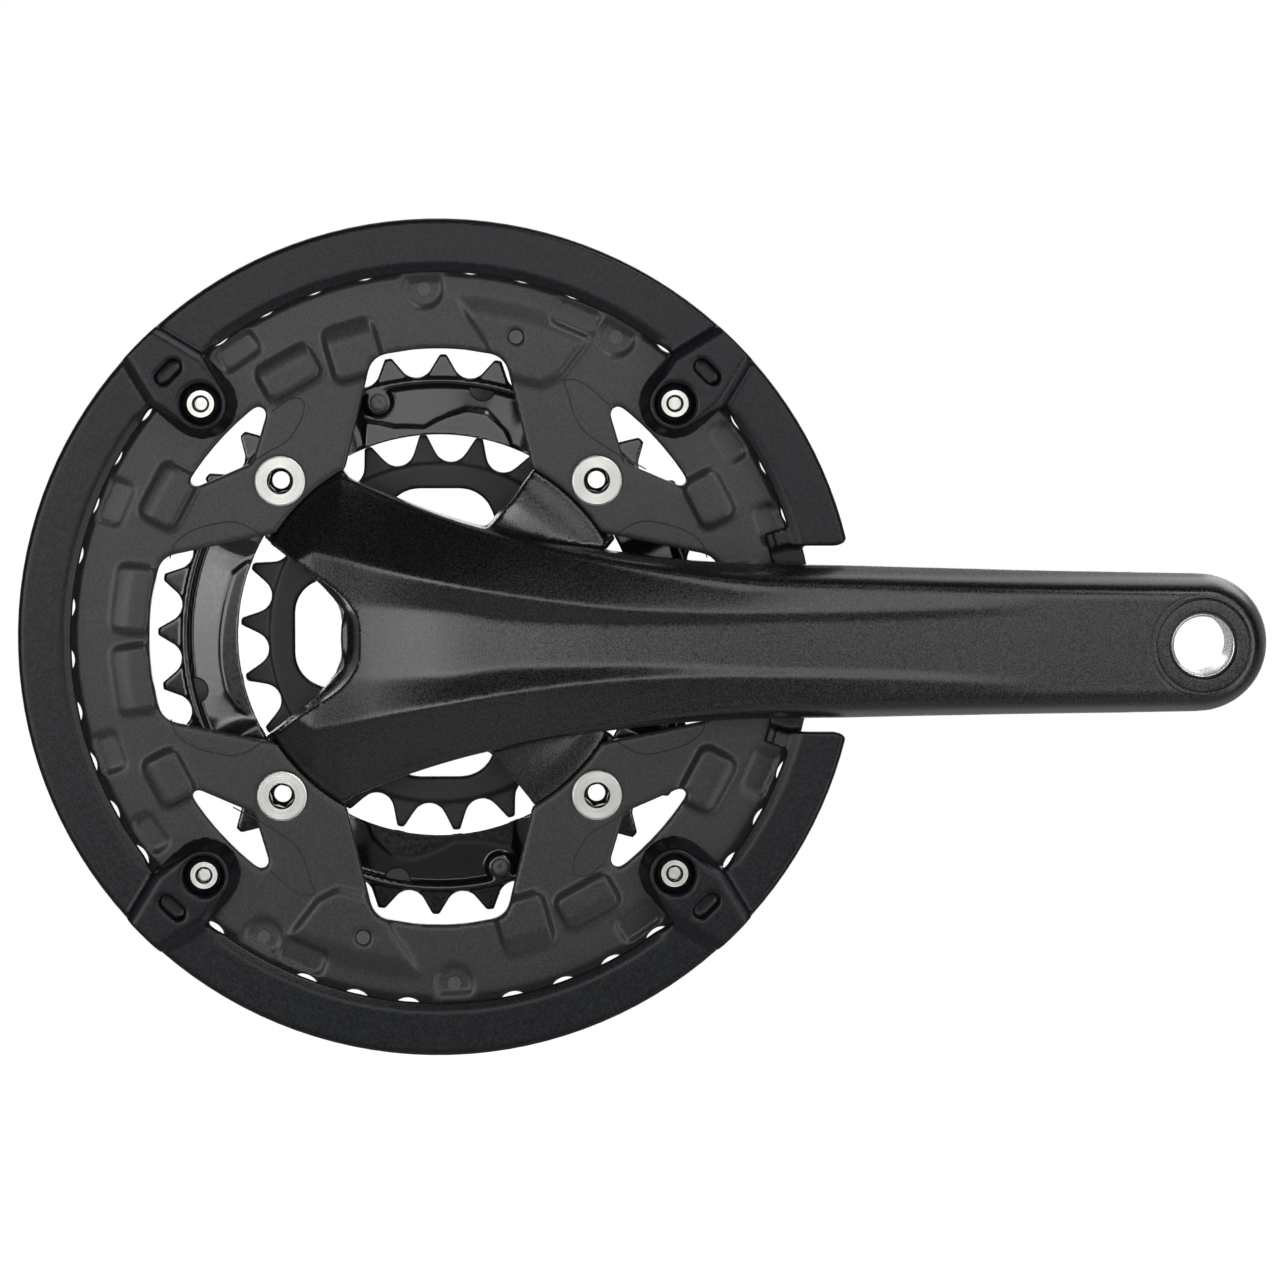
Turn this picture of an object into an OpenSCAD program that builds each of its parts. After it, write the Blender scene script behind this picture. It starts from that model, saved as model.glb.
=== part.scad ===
// Drive side of a bicycle triple crankset on its threaded bottom bracket.
// Millimetres, Z up. The spindle axis is Y, the outer face looks to -Y, the arm points to +X.
// Heights named "face", "line" or "end" are measured outboard from the frame's middle plane.

/* [Crank arm] */
// Distance from the spindle axis to the pedal axis
crank_length = 175; // [165:2.5:180]
// Radius of the rounded pedal eye
eye_radius = 16; // [15:0.25:17]
// Thickness of the pedal eye
eye_thickness = 14; // [12:0.5:16]
// Height of the pedal eye's outer face over the outer ring's face
eye_rise = 26.5; // [24:0.5:30]
// Diameter of the pedal thread
pedal_hole = 14.28; // [12.7:0.01:14.4]
// Half width of the arm where it leaves the spider
arm_half_width = 18; // [16.5:0.25:19]
// Depth of the channel between the two ridges of the outer face
channel_depth = 2; // [1:0.1:2.4]
// Radius of the hub around the spindle
hub_radius = 23; // [21:0.5:23.5]

/* [Chainrings] */
// Chain pitch
chain_pitch = 12.7; // [12.6:0.05:12.8]
// Teeth on the outer ring
outer_teeth = 44; // [42:1:48]
// Teeth on the middle ring
middle_teeth = 32; // [31:1:34]
// Teeth on the inner ring
inner_teeth = 22; // [22:1:24]
// Bolt circle diameter of the outer and the middle ring
bolt_circle = 104; // [102:0.5:106]
// Bolt circle diameter of the inner ring
inner_bolt_circle = 64; // [63:0.5:65]
// Distance from the right cup's end to the middle ring's plane
ring_offset = 1; // [0.9:0.05:3]
// Distance from the middle to the outer ring
outer_step = 8; // [7.5:0.1:8.5]
// Distance from the inner to the middle ring
inner_step = 7.5; // [7:0.1:8]
// Thickness of the ring plates
ring_plate = 3; // [2.6:0.1:3.2]
// Thickness of the teeth
tooth_plate = 2; // [1.8:0.1:2.2]
// Height of the raised pads of the outer ring and depth of its sunk ones
pad_step = 0.7; // [0.3:0.1:1]
// Radius of the shift pins
pin_radius = 1.6; // [1.4:0.1:1.8]
// How far the shift pins stand out behind the outer ring
pin_reach = 2.2; // [1.8:0.1:2.4]
// Diameter of the inner ring bolts' heads
inner_head = 12.8; // [12:0.1:13]
// Length of the inner ring bolts in the arm
inner_bolt_reach = 6; // [5:0.5:8]

/* [Chain guard] */
// How far the guard reaches past the outer ring's pitch circle
guard_reach = 8.5; // [7.5:0.25:10]
// Width of the guard's flat band
guard_band = 12; // [11:0.2:13]
// Thickness of the guard's band
guard_wall = 2.5; // [2:0.1:3]
// Height of the guard's lugs over the outer ring
guard_lug = 6.8; // [6.2:0.1:7.5]
// Half height of the guard's gap for the arm
guard_gap = 21.7; // [21:0.1:24]
// Diameter of the guard screws
guard_screw = 4; // [3.5:0.1:4.5]
// Diameter of the guard screws' heads
guard_head = 8; // [7.4:0.1:8.4]
// Height of the guard screws' heads
guard_head_height = 2.4; // [2:0.1:3]

/* [Bottom bracket] */
// Width of the frame's shell
shell_width = 68; // [66:0.5:70]
// Diameter of the spindle
spindle_diameter = 24; // [23.5:0.1:24]
// Wall of the hollow spindle
spindle_wall = 2.5; // [2:0.1:3.5]
// Outer diameter of the cups
cup_diameter = 44; // [43:0.1:44.4]
// Length of a cup outside the shell
cup_length = 10; // [9.5:0.1:10.5]
// Thread diameter of the cups
cup_thread = 34.8; // [34:0.1:35]
// Length of a cup's thread
cup_thread_length = 15; // [12:0.5:17]
// Thickness of one spacer
spacer = 2.5; // [2:0.1:2.5]
// Number of balls in a bearing
ball_count = 14; // [12:1:15]
// Ball diameter
ball_diameter = 3.5; // [3.2:0.05:3.5]
// Width of a ball cage
cage_width = 4.8; // [4:0.1:5]
// Thickness of the arm over the spindle's end
cap_wall = 3.5; // [3:0.5:5]
// Length of the spindle's splines past the left cup
spline_reach = 16; // [14:0.5:18]

/* [Hidden] */
$fn = 96;

// Radial play of a hole over what sits in it
play = 0.05;
// Roller seat radius, tooth height over the pitch circle and half width of a tooth's tip
roller_seat = 4.1;
outer_rise = 2.4;
middle_rise = 1.2;
inner_rise = 2.4;
tip_half = 0.8;
// Turn of the tooth rows against the arm
outer_turn = 3.2;
middle_turn = 4.7;
inner_turn = 4.7;

bolt_radius = bolt_circle / 2;
inner_bolt_radius = inner_bolt_circle / 2;
outer_pitch = pitch_radius(outer_teeth);
middle_pitch = pitch_radius(middle_teeth);
inner_pitch = pitch_radius(inner_teeth);

// Cups on the shell, then the rings' planes, counted outboard from the right cup's end
right_cup_back = shell_width / 2 + 2 * spacer;
left_cup_back = shell_width / 2 + spacer;
right_cup_end = right_cup_back + cup_length;
left_cup_end = left_cup_back + cup_length;
chain_line = right_cup_end + ring_offset;
outer_line = chain_line + outer_step;
inner_line = chain_line - inner_step;
ring_half = ring_plate / 2;
outer_face = outer_line + ring_half;
tab_face = outer_line - ring_half;
tab_back = chain_line + ring_half;
nut_seat = chain_line - ring_half;
boss_end = inner_line + ring_half;
inner_back = inner_line - ring_half;
eye_face = outer_face + eye_rise;

// Pilot step of the spider inside the outer ring's lugs, and the arm's own prongs just inside it
pilot = bolt_radius - 7;
prong = pilot - 0.4;
lug_edge = pilot + 0.12;
// Windows of the outer ring and radius of the guard screws
window_edge = outer_pitch - 21.6;
slit_edge = outer_pitch - 20.4;
guard_bolt_radius = outer_pitch - 11.5;
pad_row = outer_pitch - 16.9;
rim_row = outer_pitch - 7.7;

// Chainring bolts and their sleeve nuts
flange_radius = 5.95;
flange_height = 1.2;
nut_radius = 5;
stud_radius = 4;
socket_radius = 2.9;
inner_head_radius = inner_head / 2;

guard_outer = outer_pitch + guard_reach;
guard_inner = guard_outer - guard_band;
lug_face = outer_face + guard_lug;
band_face = lug_face - 1.6;
band_back = band_face - guard_wall;
screw_radius = guard_screw / 2;
screw_seat = outer_face + 2.6;
head_radius = guard_head / 2;

spindle_radius = spindle_diameter / 2;
cup_radius = cup_diameter / 2;
thread_radius = cup_thread / 2;

// Bearing: bush on the spindle, inner race, balls, outer race in the cup
bush_wall = 0.5;
race_bore = spindle_radius + bush_wall + 2 * play;
race_half = 3.5;
ball_radius = ball_diameter / 2;
ball_ring = race_bore + 3;
race_outer = ball_ring + 3;
groove_radius = ball_radius + 0.1;
land = 1.35;
bearing_inset = 1.3;
bush_flange = 0.7;

hub_back = right_cup_end + bush_flange;
bore_end = hub_back - 2;
left_end = left_cup_end + spline_reach;
sleeve_outer = thread_radius - 2.4;
sleeve_wall = 1.6;
sleeve_reach = 6;

// Outer face of the arm: height, fall from the ridges to the edges, ridge offset and half width, along X
body_front = outer_face;
eye_start = crank_length - 41;
height_table = [
    [-prong, body_front + 1], [-30, body_front + 6.5], [-15, body_front + 12.5], [0, body_front + 17],
    [20, body_front + 19.6], [60, eye_face - 4.6], [110, eye_face - 2.6], [eye_start, eye_face - 1.1],
    [crank_length - 12, eye_face], [crank_length + eye_radius, eye_face]
];
fall_table = [
    [-prong, 0.3], [-34, 4], [-22, 8.8], [-9, 10.6], [3, 9.1], [14, 6.8], [26, 5], [37, 3.6], [50, 2.3],
    [62, 1.6], [75, 1], [95, 0.55], [eye_start - 14, 0.25], [eye_start + 6, 0],
    [crank_length + eye_radius, 0]
];
ridge_table = [
    [-prong, 23.5], [-32, 20.8], [-5, 15], [21, 10.4], [45, 7.8], [79, 7.2], [105, 7.6], [eye_start, 8.8],
    [crank_length + eye_radius, 9]
];
floor_table = [
    [-prong, 9], [-9, 8], [3, 7.4], [14, 5.8], [26, 5.2], [45, 4.8], [62, 5], [79, 5.6], [105, 6.2],
    [eye_start, 7.6], [crank_length + eye_radius, 8]
];
width_table = [
    [-23, sqrt(prong * prong - 23 * 23)], [-9, 32.4], [1.5, 28.6], [12, 25.6], [26, 22.6], [40, 20.6],
    [54, arm_half_width + 1], [72, arm_half_width], [92, arm_half_width - 0.3],
    [eye_start, (arm_half_width + eye_radius) / 2 - 0.3], [crank_length, eye_radius]
];
back_table = [
    [-prong, tab_back + 0.5], [14, tab_back + 0.5], [40, outer_face - 2], [62, outer_face + 5],
    [90, outer_face + 7.5], [eye_start, eye_face - eye_thickness - 2],
    [crank_length - 12, eye_face - eye_thickness], [crank_length + eye_radius, eye_face - eye_thickness]
];
edge_width_table = [[-prong, 1.4], [20, 1.8], [50, 3], [80, 4], [crank_length + eye_radius, 4]];
edge_fall_table = [[-prong, 0.8], [0, 2], [25, 4], [50, 7], [80, 9.5], [crank_length + eye_radius, 9]];
channel_table = [
    [-30, 0.5], [-9, 0.78], [3, 1], [14, 1.05], [26, 0.85], [37, 0.62], [50, 0.4], [62, 0.22], [80, 0.16],
    [105, 0.12], [eye_start - 10, 0.05], [eye_start + 4, 0]
];
// End of the spindle in the arm, under the face's lowest place over it
socket_end = curve(-spindle_radius, height_table) - 1.1 * channel_depth - cap_wall;
stations = concat(
    [for (a = [4 : 11 : 59]) -prong * cos(a)],
    [-18, -12, -6, 0, 6, 12, 18, 24, 30, 36, 42, 49, 56, 64, 72, 82],
    [for (t = [0 : 7]) 92 + t * (crank_length - 92) / 8],
    [for (a = [0 : 11 : 77]) crank_length + eye_radius * sin(a)],
    [crank_length + eye_radius * sin(86)]
);

// Stamped pads in one half of the outer ring: angle, row radius, length along the ring, radial width
raised_pads = [
    [7.7, pad_row, 13, 6.6], [25.6, pad_row, 7.5, 7], [72.5, pad_row, 16, 6.6], [106.5, pad_row, 12, 6.6],
    [118.6, pad_row, 11, 6.6], [154, pad_row, 9, 7], [172.3, pad_row, 13, 6.6]
];
sunk_pads = [
    [19, rim_row, 9, 5.5], [34, rim_row, 9, 5], [66.7, rim_row, 11, 5.5], [124.8, rim_row, 9.5, 5.5],
    [157.5, rim_row, 9, 5.5]
];
// Shift pins in one half of the outer ring: angle, radius, radius of the dimple round the pin
pins = [[59.5, rim_row, 4.4], [92.3, rim_row, 4.4], [75.6, pad_row + 0.3, 0]];

function pitch_radius(n) = chain_pitch / (2 * sin(180 / n));
function polar(r, a) = [r * cos(a), r * sin(a)];
function arc(r, a0, a1, n) = [for (i = [0 : n]) polar(r, a0 + (a1 - a0) * i / n)];
function moved(points, by) = [for (p = points) p + by];
function unit(v) = v / norm(v);

// Outline with its corners rounded: each point is [position, radius]
function corner_arc(a, b, c, r) =
    let (u = unit(a - b), w = unit(c - b), half = acos(u * w) / 2, m = b + unit(u + w) * r / sin(half))
    let (s = b + u * r / tan(half) - m, e = b + w * r / tan(half) - m, a0 = atan2(s[1], s[0]))
    let (turn = atan2(s[0] * e[1] - s[1] * e[0], s * e))
    [for (i = [0 : 5]) m + polar(r, a0 + turn * i / 5)];
function rounded(path) =
    let (n = len(path))
    [for (i = [0 : n - 1]) each path[i][1] == 0 ? [path[i][0]] :
        corner_arc(path[(i + n - 1) % n][0], path[i][0], path[(i + 1) % n][0], path[i][1])];
function sharp(points) = [for (p = points) [p, 0]];
function rounded_box(w, h, r) =
    rounded([for (s = [[-1, -1], [1, -1], [1, 1], [-1, 1]]) [[s[0] * w, s[1] * h] / 2, r]]);

// Smooth curve through a table of [key, value] rows
function row_of(x, table, i = 0) = i >= len(table) - 2 || x < table[i + 1][0] ? i : row_of(x, table, i + 1);
function slope(table, i) =
    let (a = table[max(i - 1, 0)], b = table[min(i + 1, len(table) - 1)])
    (b[1] - a[1]) / (b[0] - a[0]);
function curve(x, table) =
    let (last = table[len(table) - 1], k = max(table[0][0], min(last[0], x)), i = row_of(k, table))
    let (a = table[i], b = table[i + 1], d = b[0] - a[0], t = (k - a[0]) / d)
    a[1] * (1 + 2 * t) * (1 - t) * (1 - t) + b[1] * t * t * (3 - 2 * t)
    + d * t * (1 - t) * (slope(table, i) * (1 - t) - slope(table, i + 1) * t);

// Outline of a toothed ring
function tooth_gap(pitch_r, n, i, rise, turn) =
    let (a = turn + 360 * i / n, centre = polar(pitch_r, a))
    let (tip = pitch_r + rise, w = tip_half / tip * 180 / PI)
    concat(
        [for (k = [0 : 6]) centre + polar(roller_seat, a + 245 - 130 * k / 6)],
        [polar(tip, a + 180 / n - w), polar(tip, a + 180 / n + w)]
    );
function sprocket(pitch_r, n, rise, turn) =
    [for (i = [0 : n - 1]) each tooth_gap(pitch_r, n, i, rise, turn)];

// Closed ring of points round the arm at one station
function arm_half_at(x) =
    x < -23 ? sqrt(max(0.01, prong * prong - x * x)) :
    x > crank_length ? sqrt(max(0.01, eye_radius * eye_radius - pow(x - crank_length, 2))) :
    curve(x, width_table);
function rim_distance(x, y) =
    x > crank_length ? eye_radius - norm([x - crank_length, y]) : arm_half_at(x) - abs(y);
// Rolled edge: a short bend from the face and a drafted flank, by the share of the edge's width
edge_table = [[0, 1], [0.36, 0.56], [0.72, 0.12], [0.86, 0.03], [1, 0]];
function arm_row(x, y, in_channel, down) =
    let (edge = lookup(rim_distance(x, y) / curve(x, edge_width_table), edge_table))
    [x, y, curve(x, height_table) - in_channel * channel_depth * curve(x, channel_table)
        - down * curve(x, fall_table) - edge * curve(x, edge_fall_table)];
function arm_ring(x) =
    let (w = arm_half_at(x), edge = min(curve(x, edge_width_table), 0.3 * w))
    let (r = min(curve(x, ridge_table), 0.6 * w), flat = w - edge - r)
    let (c = min(curve(x, floor_table), 0.8 * r))
    let (back = curve(x, back_table), round = min(2, 0.3 * w))
    let (rows = [
        [c, 1, 0], [c + 0.5 * (r - c), 0.5, 0], [r, 0, 0],
        [r + 0.15 * flat, 0, 0.12], [r + 0.55 * flat, 0, 0.5], [w - edge, 0, 1],
        [w - 0.86 * edge, 0, 1], [w - 0.72 * edge, 0, 1], [w - 0.36 * edge, 0, 1], [w, 0, 1]
    ])
    concat(
        [for (i = [9 : -1 : 0]) arm_row(x, -rows[i][0], rows[i][1], rows[i][2])],
        [arm_row(x, 0, 1, 0)],
        [for (row = rows) arm_row(x, row[0], row[1], row[2])],
        [[x, w, back + round], [x, w - round, back], [x, round - w, back], [x, -w, back + round]]
    );

// Notch between the two left spider arms, wider at the outer face
notch_low = [[0, -23.7], [5.5, -23.9], [11, -26.6], [18, -34], [44, -62]];
notch_high = [[0, -17.2], [6, -17.9], [11.6, -22.4], [19.4, -34], [46, -62]];
function notch_ring(table, wide, h) = concat(
    [for (k = [15 : -1 : -15]) [curve(abs(k) * wide / 15, table), k * wide / 15, h]],
    [[-70, -wide, h], [-70, wide, h]]
);

function mean(points) = [for (k = [0 : 2]) [for (p = points) p[k]] * [for (p = points) 1] / len(points)];

// Solid through a list of rings of points
module loft(rings, first_centre, last_centre) {
    n = len(rings[0]);
    m = len(rings);
    points = concat([for (r = rings) each r], [first_centre, last_centre]);
    sides = [for (j = [0 : m - 2]) for (i = [0 : n - 1])
        let (a = j * n + i, b = j * n + (i + 1) % n) each [[a, b, b + n], [a, b + n, a + n]]];
    first = [for (i = [0 : n - 1]) [m * n, (i + 1) % n, i]];
    last = [for (i = [0 : n - 1]) [m * n + 1, (m - 1) * n + i, (m - 1) * n + (i + 1) % n]];
    polyhedron(points = points, faces = concat(sides, first, last));
}

// Drawing plane seen from the outer side: X along the arm, Y up, Z outboard
module outboard() {
    rotate([90, 0, 0]) children();
}

module slab(from, to) {
    translate([0, 0, from]) linear_extrude(to - from) children();
}

module rod(r, from, to) {
    translate([0, 0, from]) cylinder(r = r, h = to - from);
}

module tube(outer, inner, from, to) {
    difference() {
        rod(outer, from, to);
        rod(inner, from - 1, to + 1);
    }
}

module at_corners(r) {
    for (a = [45 : 90 : 315]) {
        rotate(a) translate([r, 0, 0]) children();
    }
}

module hex_hole(r, from, to) {
    translate([0, 0, from]) cylinder(r = r, h = to - from, $fn = 6);
}

// Thins a ring plate to the tooth thickness outside a radius
module tooth_relief(line, root) {
    thin = tooth_plate / 2;
    for (side = [-1, 1]) {
        translate([0, 0, line]) rotate_extrude() {
            polygon([[root - 1.2, side * (ring_half + 1)], [root - 0.2, side * thin],
                [root + 20, side * thin], [root + 20, side * (ring_half + 1)]]);
        }
    }
}

module spider_plan(narrow = 0) {
    for (a = [45 : 90 : 315]) {
        rotate(a) {
            polygon([[8, narrow - 12], [28, narrow - 10.6], [36, narrow - 11.2],
                [pilot, narrow - 12.3], [bolt_radius, -9], [bolt_radius, 9], [pilot, 12.3 - narrow],
                [36, 11.2 - narrow], [28, 10.6 - narrow], [8, 12 - narrow]]);
            translate([bolt_radius, 0]) circle(r = 9.02);
        }
    }
    circle(r = hub_radius - narrow);
}

// Hub and four spider arms: tabs between the rings, and a pilot step inside the outer ring's lugs
module spider() {
    intersection() {
        rotate_extrude() {
            polygon([[0, tab_back], [bolt_radius + 12, tab_back], [bolt_radius + 12, tab_face],
                [pilot, tab_face], [pilot, outer_face], [0, outer_face]]);
        }
        slab(tab_back - 1, outer_face + 1) spider_plan();
    }
}

// Fillet that rises from the pilot step to the arm on the two right spider arms
module spider_fillet() {
    intersection() {
        rotate_extrude() {
            polygon([[4, tab_face], [pilot - 1, tab_face], [pilot - 1, outer_face + 0.1],
                [40, outer_face + 0.8], [36, outer_face + 2.1], [32, outer_face + 4],
                [28, outer_face + 6.6], [25, outer_face + 9], [4, outer_face + 9]]);
        }
        slab(tab_face - 1, outer_face + 20) intersection() {
            spider_plan(0.3);
            translate([1, -100]) square([200, 200]);
        }
    }
}

module arm_body() {
    rings = [for (x = stations) arm_ring(x)];
    low = notch_ring(notch_low, 44, tab_back - 2);
    high = notch_ring(notch_high, 46, outer_face + 14);
    top = notch_ring(notch_high, 46, outer_face + 40);
    difference() {
        loft(rings, mean(rings[0]), mean(rings[len(rings) - 1]));
        loft([low, high, top], [-60, 0, tab_back - 2], [-60, 0, outer_face + 40]);
    }
}

module crank_arm() {
    color([0.05, 0.05, 0.055]) outboard() difference() {
        union() {
            arm_body();
            spider();
            spider_fillet();
            rod(16, hub_back, tab_back + 1);
            at_corners(inner_bolt_radius) rod(6.6, boss_end, tab_back + 1);
        }
        translate([crank_length, 0, 0]) {
            rod(pedal_hole / 2, 20, eye_face + 5);
            rod(10.7, eye_face - 0.3, eye_face + 5);
            rod(10.7, eye_face - eye_thickness - 10, eye_face - eye_thickness + 0.3);
        }
        rod(spindle_radius + play, hub_back - 5, socket_end + play);
        at_corners(bolt_radius) rod(nut_radius + play, tab_back - 5, outer_face + 10);
        at_corners(inner_bolt_radius) rod(stud_radius + play, boss_end - 5, tab_face - 1);
    }
}

module spindle() {
    color([0.35, 0.35, 0.37]) outboard() difference() {
        union() {
            rod(spindle_radius, -left_cup_end - 2, socket_end);
            slab(-left_end, -left_cup_end - 2) difference() {
                circle(r = spindle_radius);
                for (a = [0 : 22.5 : 359]) {
                    rotate(a) translate([spindle_radius, 0]) square([2, 2.1], center = true);
                }
            }
        }
        rod(spindle_radius - spindle_wall, -left_end - 1, bore_end);
        translate([0, 0, -left_end - 0.01]) {
            cylinder(r1 = spindle_radius - spindle_wall + 1, r2 = spindle_radius - spindle_wall, h = 1);
        }
    }
}

// Window between two lugs of the outer ring, along the plane's +Y
module ring_window(outer_half, inner_half) {
    reach = sqrt(window_edge * window_edge - outer_half * outer_half);
    a = atan2(reach, outer_half);
    polygon(rounded(concat(
        [[[inner_half, 30], 0], [[outer_half, reach], 5]], sharp(arc(window_edge, a + 8, 172 - a, 8)),
        [[[-outer_half, reach], 5], [[-inner_half, 30], 0]]
    )));
}

// Slanted window outside a chainring bolt, in the quadrant given by two signs
function slit_path() = rounded(concat(
    [[polar(slit_edge, 55.8), 1.7], [polar(bolt_radius + 7.6, 43.4), 0.6], [polar(slit_edge, 29.6), 1.3]],
    sharp(arc(slit_edge, 34.6, 50, 5))
));
module ring_slit(sx, sy) {
    polygon([for (p = slit_path()) [sx * p[0], sy * p[1]]]);
}

module ring_plan() {
    difference() {
        polygon(sprocket(outer_pitch, outer_teeth, outer_rise, outer_turn));
        circle(r = lug_edge);
        for (a = [0, 180]) {
            rotate(a) ring_window(15.4, 24);
            rotate(a + 90) ring_window(19, 26.2);
        }
        for (sx = [-1, 1]) for (sy = [-1, 1]) {
            ring_slit(sx, sy);
        }
        at_corners(bolt_radius) circle(r = nut_radius + play);
        at_corners(guard_bolt_radius) circle(r = screw_radius + play);
    }
}

module stamped_pads(pads, from, to) {
    for (a = [0, 180]) for (p = pads) {
        rotate(a + p[0]) translate([p[1], 0]) slab(from, to) polygon(rounded_box(p[3], p[2], 2));
    }
}

module outer_chainring() {
    color([0.17, 0.17, 0.165]) outboard() difference() {
        union() {
            slab(tab_face, outer_face) ring_plan();
            stamped_pads(raised_pads, outer_face - ring_half, outer_face + pad_step);
        }
        tooth_relief(outer_line, outer_pitch - roller_seat);
        stamped_pads(sunk_pads, outer_face - pad_step, outer_face + 1);
        for (a = [0, 180]) for (p = pins) {
            rotate(a + p[0]) translate([p[1], 0]) {
                rod(pin_radius + play, tab_face - 1, outer_face + pad_step + 1);
                if (p[2] > 0) {
                    rod(p[2], outer_face - pad_step, outer_face + 1);
                }
            }
        }
    }
}

module shift_pins() {
    color([0.3, 0.3, 0.3]) outboard() for (a = [0, 180]) for (p = pins) {
        top = p[2] > 0 ? outer_face - pad_step + 0.2 : outer_face + pad_step;
        rotate(a + p[0]) translate([p[1], 0, 0]) {
            rod(pin_radius, tab_face - pin_reach, top);
            rod(1.5 * pin_radius, tab_face - pin_reach, tab_face);
        }
    }
}

module middle_chainring() {
    color([0.03, 0.03, 0.03]) outboard() difference() {
        slab(nut_seat, tab_back) difference() {
            polygon(sprocket(middle_pitch, middle_teeth, middle_rise, middle_turn));
            difference() {
                circle(r = bolt_radius - 4.8);
                at_corners(bolt_radius) circle(r = 8.6);
            }
            at_corners(bolt_radius) circle(r = nut_radius + play);
        }
        tooth_relief(chain_line, middle_pitch - roller_seat);
        groove_in = bolt_radius - 1.2;
        groove_out = middle_pitch - roller_seat - 2.2;
        rotate_extrude() {
            polygon([[groove_in, tab_back + 1], [groove_in + 0.9, tab_back - 0.6],
                [groove_out - 0.9, tab_back - 0.6], [groove_out, tab_back + 1]]);
        }
    }
}

module inner_chainring() {
    lobe = inner_bolt_radius + 2.2;
    color([0.06, 0.06, 0.06]) outboard() difference() {
        slab(inner_back, boss_end) difference() {
            polygon(sprocket(inner_pitch, inner_teeth, inner_rise, inner_turn));
            circle(r = cup_radius + 1.2);
            for (a = [0 : 90 : 270]) {
                rotate(a) polygon(rounded(
                    [[[10, -19], 0], [[lobe, -10.5], 8], [[lobe, 10.5], 8], [[10, 19], 0]]
                ));
            }
            at_corners(inner_bolt_radius) circle(r = stud_radius + play);
        }
        tooth_relief(inner_line, inner_pitch - roller_seat);
    }
}

// Outline of a guard lug along +X, drawn in by insets at its round end and along its sides
function lug_outline(end, side, h) =
    [for (p = concat(
        moved(arc(8.4 - end, 262, 98, 16), [guard_bolt_radius, 0]),
        [[guard_inner - 0.5, 8.9 - side], [guard_outer + 1, 5.6 - side]],
        [[guard_outer + 1, side - 5.6], [guard_inner - 0.5, side - 8.9]]
    )) [p[0], p[1], h]];

// One edge of the gap for the arm, rounded where it meets the guard's rim
gap_corner = sqrt(guard_outer * guard_outer - guard_gap * guard_gap);
function gap_edge(side) = [for (p = [[40 - gap_corner, 0], [-3, 0], [-1.3, 0.5], [-0.2, 1.7], [0.6, 4]])
    [gap_corner + p[0], side * (guard_gap + p[1])]];

module chain_guard() {
    step = band_face - outer_face - 0.7;
    color([0.09, 0.095, 0.11]) outboard() difference() {
        union() {
            difference() {
                rotate_extrude() {
                    polygon([[guard_inner, band_back], [guard_outer - 1.9, band_back],
                        [guard_outer - 1.9, band_back - 1.6], [guard_outer, band_back - 1.6],
                        [guard_outer, band_face - 0.8], [guard_outer - 0.8, band_face],
                        [guard_inner + 0.8, band_face], [guard_inner, band_face - 0.8]]);
                }
                slab(0, 200) polygon(concat(
                    gap_edge(-1), [[200, -40], [200, 40]], [for (i = [4 : -1 : 0]) gap_edge(1)[i]]
                ));
            }
            // Thin bridge behind the arm, with a step up to the band at each end
            rotate(-17.5) rotate_extrude(angle = 35) {
                translate([guard_outer - 18, outer_face]) square([7.8, 1.8]);
            }
            for (s = [-1, 1]) {
                rotate(s * 16.4 - 1.4) rotate_extrude(angle = 2.8) {
                    translate([guard_outer - 18, outer_face]) {
                        polygon([[0, 0], [9.6, 0], [9.6, step], [6.4, step], [0, 1.9]]);
                    }
                }
            }
            intersection() {
                union() {
                    for (a = [45 : 90 : 315]) {
                        rotate(a) loft([
                            lug_outline(0, 0, outer_face), lug_outline(2.1, 0.4, lug_face - 0.9),
                            lug_outline(2.6, 2.3, lug_face)
                        ], [guard_bolt_radius + 8, 0, outer_face], [guard_bolt_radius + 8, 0, lug_face]);
                    }
                }
                rod(guard_outer, outer_face - 1, lug_face + 1);
            }
        }
        at_corners(guard_bolt_radius) {
            rod(screw_radius + 2 * play, outer_face - 1, lug_face + 1);
            rod(head_radius + 0.9, screw_seat, lug_face + 1);
        }
        at_corners(guard_outer - 9.6) slab(lug_face - 3.2, lug_face + 1) {
            square([3.6, 3.6], center = true);
            for (s = [-1, 1]) translate([0, 1.8 * s]) circle(r = 1.8);
        }
    }
}

module guard_screws() {
    dome = guard_head_height / 3;
    color([0.75, 0.75, 0.74]) outboard() at_corners(guard_bolt_radius) difference() {
        union() {
            rod(screw_radius, tab_face, screw_seat + 0.5);
            rod(head_radius, screw_seat, screw_seat + 2 * dome);
            translate([0, 0, screw_seat + 2 * dome]) {
                cylinder(r1 = head_radius, r2 = 0.78 * head_radius, h = dome);
            }
        }
        hex_hole(0.44 * head_radius, screw_seat + dome, screw_seat + guard_head_height + 1);
    }
}

module chainring_bolts() {
    color([0.78, 0.78, 0.77]) outboard() at_corners(bolt_radius) difference() {
        union() {
            rod(flange_radius, outer_face, outer_face + flange_height - 0.3);
            translate([0, 0, outer_face + flange_height - 0.3]) {
                cylinder(r1 = flange_radius, r2 = flange_radius - 0.3, h = 0.3);
            }
            rod(stud_radius - play, nut_seat + 1.5, outer_face + 0.1);
        }
        hex_hole(socket_radius, outer_face - 4.5, outer_face + 5);
        rod(2, nut_seat - 1, outer_face);
    }
}

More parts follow.
